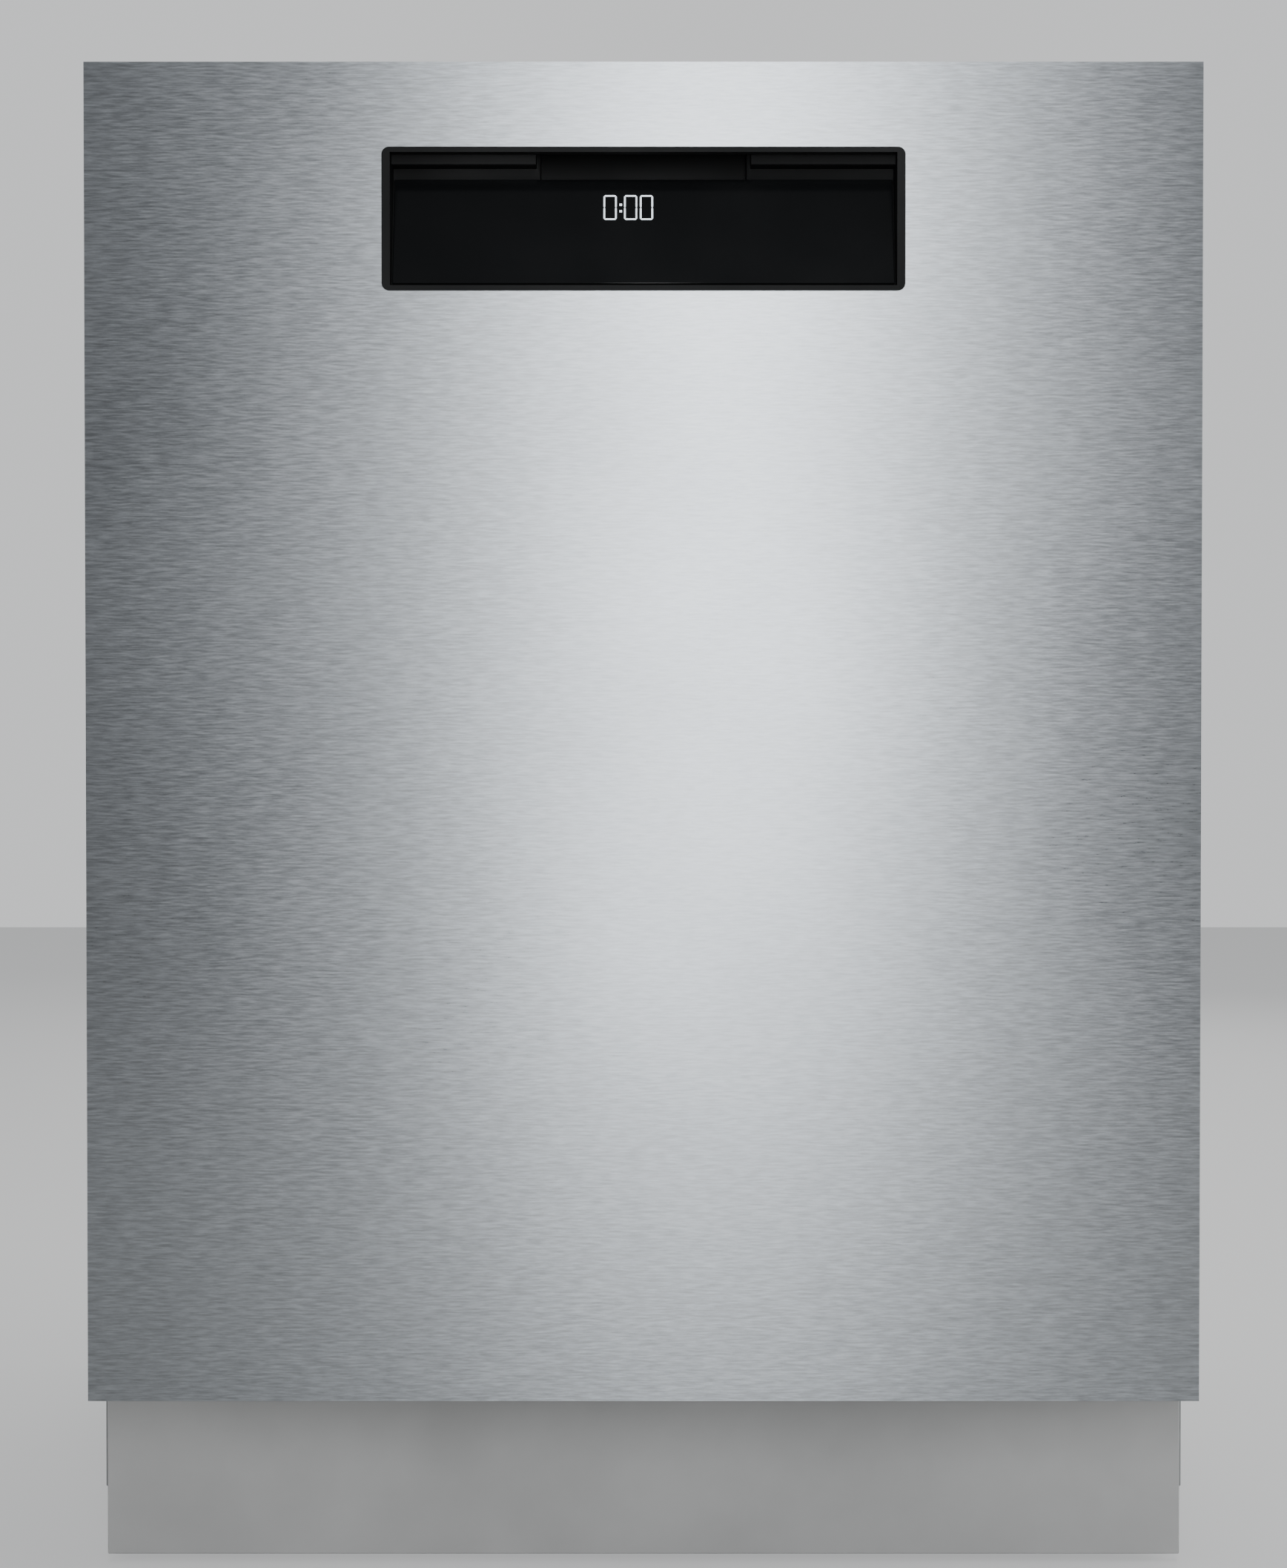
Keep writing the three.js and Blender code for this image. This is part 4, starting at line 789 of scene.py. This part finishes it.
filter_grey = moulded("filter_grey", (0.24, 0.28, 0.32), 0.38, 2200, 0.00002)
SUMP_PLATE = 0.150
MILLING_DEEP = 0.0005
MILLING_COUNT = 36
for node, rise, collar in (("micro_filter", 0.0061, 0.0028), ("salt_cap", 0.0076, 0.0052)):
    merged_copy(node, filter_grey, 0.0010, 3)
    low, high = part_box(node)
    centre = plan_middle(node)
    top = SUMP_PLATE + rise
    turn = np.linspace(0, 2 * np.pi, 289)
    outer = (high.x - low.x) / 2 - 0.0006 + MILLING_DEEP * np.cos(turn * MILLING_COUNT)
    inner = outer - 0.004
    ring = [np.stack([centre.x + r * np.cos(turn), centre.y + r * np.sin(turn), np.full_like(turn, z)], -1)
            for r, z in ((inner, top - collar), (outer, top - collar), (outer, top),
                         (outer - 0.0012, top + 0.0004), (inner, top + 0.0004), (inner, top - collar))]
    surface(node + "_milled_rim", [np.stack(ring)], filter_grey, node)

# ---------------------------------------------------------------- lower rack
# Steel wire bent and spot-welded into a basket, then dipped in grey nylon. Upright tines hold the
# plates, one comb of them folds down, and four wheels run on the tub's ledges and the door.

rack_grey = moulded("rack_grey", (0.20, 0.215, 0.23), 0.34, 1600, 0.00002, coat=0.15)
wheel_grey = moulded("wheel_grey", (0.33, 0.345, 0.36), 0.38, 2200, 0.00002)
RIM_WIRE = 0.0023
BAND_WIRE = 0.0018
FLOOR_WIRE = 0.0016
TINE_WIRE = 0.0015
WIRE_INSET = 0.026
WIRE_BEND = 0.016
WHEELS = ("front_left_wheel", "front_right_wheel", "rear_left_wheel", "rear_right_wheel")


def filleted(points, radius, steps=5):
    """A path through points whose inner corners are rounded: each corner becomes the curve
    (1-t)^2 a + 2t(1-t) b + t^2 c between points radius away from it on its two sides."""
    points = np.asarray(points, float)
    t = np.linspace(0, 1, steps)[:, None]
    pieces = [points[:1]]
    for before, corner, after in zip(points[:-2], points[1:-1], points[2:]):
        a = corner + radius * (before - corner) / np.linalg.norm(before - corner)
        c = corner + radius * (after - corner) / np.linalg.norm(after - corner)
        pieces.append((1 - t) ** 2 * a + 2 * t * (1 - t) * corner + t ** 2 * c)
    return np.concatenate(pieces + [points[-1:]])


def rim_ring(centre, half_wide, half_deep, z, radius, corner=0.022):
    """A wire bent to a rounded rectangle at height z, its outer sides half_wide and half_deep out."""
    flat = ring_path(half_wide - radius, half_deep - radius, corner, 7)[:-1] + centre
    return tube(np.column_stack([flat, np.full(len(flat), z)]), radius, closed=True)


def basket_wires(centre, half_wide, half_deep, floor_z, top_z, across, along):
    """The wires of a basket: two rims, U-shaped wires front to back and side to side."""
    rise = top_z - RIM_WIRE
    grids = [rim_ring(centre, half_wide, half_deep, rise, RIM_WIRE),
             rim_ring(centre, half_wide - 0.001, half_deep - 0.001, (floor_z + top_z) / 2, BAND_WIRE)]
    for way, count, half, other, floor in ((1, across, half_deep, half_wide, floor_z),
                                           (0, along, half_wide, half_deep, floor_z - 0.0004)):
        near = centre[way] - half + RIM_WIRE + FLOOR_WIRE
        far = centre[way] + half - RIM_WIRE - FLOOR_WIRE
        for place in np.linspace(-other + WIRE_INSET, other - WIRE_INSET, count) + centre[1 - way]:
            flat = ((near, rise), (near + 0.004, floor), (far - 0.004, floor), (far, rise))
            bent = [(place, run, z) if way else (run, place, z) for run, z in flat]
            grids.append(tube(filleted(bent, WIRE_BEND), FLOOR_WIRE, 6))
    return grids


def tine_row(xs, y, low, tall, lean=0.0, radius=TINE_WIRE):
    """A row of upright tines on one wire, their tops rounded."""
    top = low + tall
    tip = [(0, top + 0.0012), (radius * 0.75, top + 0.0007), (radius, top - 0.0004)]
    grids = [tube([(xs[0] - 0.008, y, low), (xs[-1] + 0.008, y, low)], radius, 6)]
    for x in xs:
        grids.append(tube([(x, y, low), (x, y + lean * 0.95, top - 0.0012), (x, y + lean, top)], radius, 6))
        grids.append(lathed(tip, (x, y + lean, 0), sides=6))
    return grids


low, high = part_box("lower_rack")
rack_y = (low.y + high.y) / 2
LOWER_HALF = 0.243
LOWER_DEEP = 0.12
TINE_FOOT = 0.003
LOWER_TINE = 0.078
TINE_LEAN = 0.004
lower_floor = high.z - LOWER_DEEP
wires = basket_wires((0, rack_y), LOWER_HALF, (high.y - low.y) / 2, lower_floor, high.z, 17, 13)
for first, last, count, back in ((-0.205, 0.100, 12, -0.145), (-0.205, 0.100, 12, -0.085),
                                 (-0.205, 0.100, 12, -0.025), (-0.205, 0.205, 16, 0.155),
                                 (0.125, 0.205, 4, 0.10)):
    wires += tine_row(np.linspace(first, last, count), rack_y + back, lower_floor + TINE_FOOT, LOWER_TINE,
                      TINE_LEAN)
for node in WHEELS:
    a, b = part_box(node)
    hub = (a + b) / 2
    side = math.copysign(1, hub.x)
    for lean in (-0.016, 0.016):
        wires.append(tube(filleted([(side * 0.2405, hub.y + lean, lower_floor + 0.055),
                                    (side * 0.2415, hub.y + lean * 0.8, lower_floor),
                                    (side * 0.2440, hub.y, hub.z)], 0.008), 0.0021))
    wires.append(tube([(side * 0.2420, hub.y, hub.z), (side * 0.2590, hub.y, hub.z)], 0.0028, 10))
surface("lower_rack_wires", wires, rack_grey, "lower_rack", "lower_rack")

GRIP_HALF = 0.085
grip_s = np.linspace(-1, 1, 41)
grip_angle = np.linspace(0, 2 * np.pi, 17)


def rack_grip(name, body, front_y, top_z):
    """A moulded grip clipped over the front rim: an oval section 6 by 10 mm whose size falls to
    nothing at both ends as (1 - s^8)."""
    size = np.clip(1 - grip_s ** 8, 0, 1)[:, None]
    x = GRIP_HALF * grip_s[:, None] + np.zeros_like(grip_angle)
    y = front_y + 0.0042 + 0.0040 * size * np.cos(grip_angle)
    z = top_z - 0.0075 + 0.0070 * size * np.sin(grip_angle)
    surface(name, [np.stack([x, y, z], -1)], wheel_grey, body)


rack_grip("lower_rack_grip", "lower_rack", low.y, high.z)

for node in WHEELS:
    a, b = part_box(node)
    hub = (a + b) / 2
    r, out = (b.z - a.z) / 2, math.copysign((b.x - a.x) / 2, hub.x)
    web = out * 0.62
    tread = [(0.0036, -out), (0.0075, -out), (0.0075, -web), (r - 0.004, -web), (r - 0.003, -out),
             (r - 0.0006, -out), (r, -out * 0.9), (r, out * 0.9), (r - 0.0006, out), (r - 0.003, out),
             (r - 0.004, web), (0.0075, web), (0.0068, out), (0, out)]
    grids = [lathed(tread, hub, "X", 40)]
    for angle in np.arange(5) * 2 * np.pi / 5:
        spoke = [hub + Vector((out * 0.72, reach * math.cos(angle), reach * math.sin(angle)))
                 for reach in (0.0055, 0.0125)]
        grids.append(tube(spoke, 0.0013))
    surface(node + "_turned", grids, wheel_grey, node, node)

low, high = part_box("plate_tines")
hinge_y, hinge_z = (low.y + high.y) / 2, low.z + 0.002
tine_x = np.linspace(low.x + 0.008, high.x - 0.008, 13)
comb = tine_row(tine_x, hinge_y, hinge_z, high.z - hinge_z - 0.0015, 0, 0.0017)
surface("plate_tines_wires", comb, rack_grey, "plate_tines", "plate_tines")

# ---------------------------------------------------------------- cutlery basket
# A grey moulded basket. Its walls are open slats held by bands, so water runs through, and the
# handle rises from the wall between its two rows of cells.

basket_grey = moulded("basket_grey", (0.27, 0.285, 0.30), 0.42, 2200, 0.00002)
low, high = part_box("cutlery_basket")
BASKET_TALL = 0.100
SLAT = 0.0011


def slab(a, b):
    """A box between two corners, as one closed grid carried round its four sides and capped."""
    a, b = np.array(a, float), np.array(b, float)
    lo, hi = np.minimum(a, b), np.maximum(a, b)
    loop = np.array([(lo[0], lo[1]), (hi[0], lo[1]), (hi[0], hi[1]), (lo[0], hi[1]), (lo[0], lo[1])])
    middle = np.broadcast_to(loop[:4].mean(0), loop.shape)
    rings = [np.column_stack([flat, np.full(5, z)]) for flat, z in
             ((middle, lo[2]), (loop, lo[2]), (loop, hi[2]), (middle, hi[2]))]
    return np.stack(rings)


def slatted_wall(start, end, thick, z0, z1, pitch=0.0075):
    """Upright slats every pitch from start to end in plan, with a foot, a middle band and a rim."""
    start, end = np.array(start, float), np.array(end, float)
    along = end - start
    length = np.linalg.norm(along)
    along /= length
    square = np.array([-along[1], along[0]]) * thick / 2
    grids = []
    for share in np.linspace(0, length, max(2, round(length / pitch) + 1)):
        middle = start + along * share
        width = along * SLAT * (0.8 if 0 < share < length else 1.0)
        grids.append(slab((*(middle - width - square), z0), (*(middle + width + square), z1)))
    middle_z = (z0 + z1) / 2
    for band_low, band_high in ((z0, z0 + 0.006), (middle_z - 0.002, middle_z + 0.002), (z1 - 0.007, z1)):
        grids.append(slab((*(start - square), band_low), (*(end + square), band_high)))
    return grids


left, right, near, far = low.x + SLAT, high.x - SLAT, low.y + SLAT, high.y - SLAT
basket_middle = (left + right) / 2
rim_z = low.z + BASKET_TALL
pieces = []
for start, end, thick in (((left, near), (right, near), 0.0022), ((left, far), (right, far), 0.0022),
                          ((left, near), (left, far), 0.0022), ((right, near), (right, far), 0.0022),
                          ((basket_middle, near), (basket_middle, far), 0.0020)):
    pieces += slatted_wall(start, end, thick, low.z, rim_z)
for y in np.linspace(near, far, 6)[1:-1]:
    pieces += slatted_wall((left, y), (right, y), 0.0018, low.z, rim_z - 0.012, 0.012)
for y in np.linspace(near, far, 30):
    pieces.append(slab((left, y - 0.0012, low.z), (right, y + 0.0012, low.z + 0.0022)))
handle_y = (near + far) / 2
grip_z, root_z = high.z - 0.0042, rim_z - 0.012
handle_points = [(basket_middle, handle_y + run, z) for run, z in
                 ((-0.054, root_z), (-0.052, grip_z), (0.052, grip_z), (0.054, root_z))]
pieces.append(tube(filleted(handle_points, 0.018, 9), 0.0020, 10))
pieces.append(tube([(basket_middle, handle_y + run, high.z - 0.0044) for run in (-0.034, 0.034)], 0.0042, 14))
surface("cutlery_basket_slats", pieces, basket_grey, "cutlery_basket", "cutlery_basket")

# ---------------------------------------------------------------- upper rack
# The same coated wire, with low tines for glasses. A duct under its floor carries water from the
# feed pipe to the middle arm, and steel rails on its sides run on rollers on the tub's walls.

low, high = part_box("upper_rack")
UPPER_HALF = 0.25
UPPER_HALF_DEEP = 0.212
UPPER_DEEP = 0.095
UPPER_TINE = 0.042
upper_floor = high.z - UPPER_DEEP
rack_y = low.y + UPPER_HALF_DEEP
wires = basket_wires((0, rack_y), UPPER_HALF, UPPER_HALF_DEEP, upper_floor, high.z, 17, 13)
row = tine_row(np.linspace(-0.17, 0.17, 13), 0, upper_floor + TINE_FOOT, UPPER_TINE)
for x in (-0.075, 0.0, 0.075):
    wires += [np.stack([x + g[..., 1], rack_y + g[..., 0], g[..., 2]], -1) for g in row]
surface("upper_rack_wires", wires, rack_grey, "upper_rack", "upper_rack")
rack_grip("upper_rack_grip", "upper_rack", low.y, high.z)

DUCT_FRONT = 0.018
DUCT_SQUARENESS = 0.55
duct_turn = np.linspace(0, 2 * np.pi, 25)
duct_low = low.z + 0.0002
ring = np.stack([0.0088 * squared(np.cos(duct_turn), DUCT_SQUARENESS), np.zeros_like(duct_turn),
                 duct_low + 0.0053 + 0.0051 * squared(np.sin(duct_turn), DUCT_SQUARENESS)], -1)
duct = np.stack([ring + (0, y, 0) for y in np.linspace(DUCT_FRONT, high.y - 0.0005, 12)])
ends = [np.broadcast_to(duct[i].mean(0), duct[i].shape)[None] for i in (0, -1)]
hub_profile = [(0, duct_low), (0.0130, duct_low), (0.0138, duct_low + 0.001), (0.0138, duct_low + 0.009),
               (0.0125, duct_low + 0.0105), (0, duct_low + 0.0105)]
surface("upper_rack_duct", [np.concatenate([ends[0], duct, ends[1]]),
                            lathed(hub_profile, (0, DUCT_FRONT, 0), sides=36)], arm_grey, "upper_rack")

rail_steel = ground_steel("rail_steel", (0.56, 0.57, 0.58), 0.28, (500, 30, 500), 0.000003)
for word in ("left", "right"):
    merged_copy(word + "_rack_rail", rail_steel, 0.0005)
    merged_copy(word + "_roller_plate", wheel_grey, 0.0007, 3)
    low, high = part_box(word + "_cup_shelf")
    side = 1 if word == "right" else -1
    hinge_x = (high.x - 0.002) if side > 0 else (low.x + 0.002)
    inner_x = (low.x + 0.002) if side > 0 else (high.x - 0.002)
    shelf_z = (low.z + high.z) / 2
    near, far = low.y + 0.002, high.y - 0.002
    grids = [tube([(hinge_x, near - 0.0018, shelf_z), (hinge_x, far + 0.0018, shelf_z)], 0.0018, 8),
             tube(filleted([(hinge_x, near, shelf_z), (inner_x, near, shelf_z), (inner_x, far, shelf_z),
                            (hinge_x, far, shelf_z)], 0.02, 8), 0.0019, 8)]
    for y in np.linspace(near, far, 13)[1:-1]:
        grids.append(tube([(hinge_x, y, shelf_z), (inner_x, y, shelf_z)], 0.0014, 6))
    for share in (0.3, 0.65):
        x = hinge_x + (inner_x - hinge_x) * share
        grids.append(tube([(x, near, shelf_z), (x, far, shelf_z)], 0.0013, 6))
    surface(word + "_cup_shelf_wires", grids, rack_grey, word + "_cup_shelf", word + "_cup_shelf")
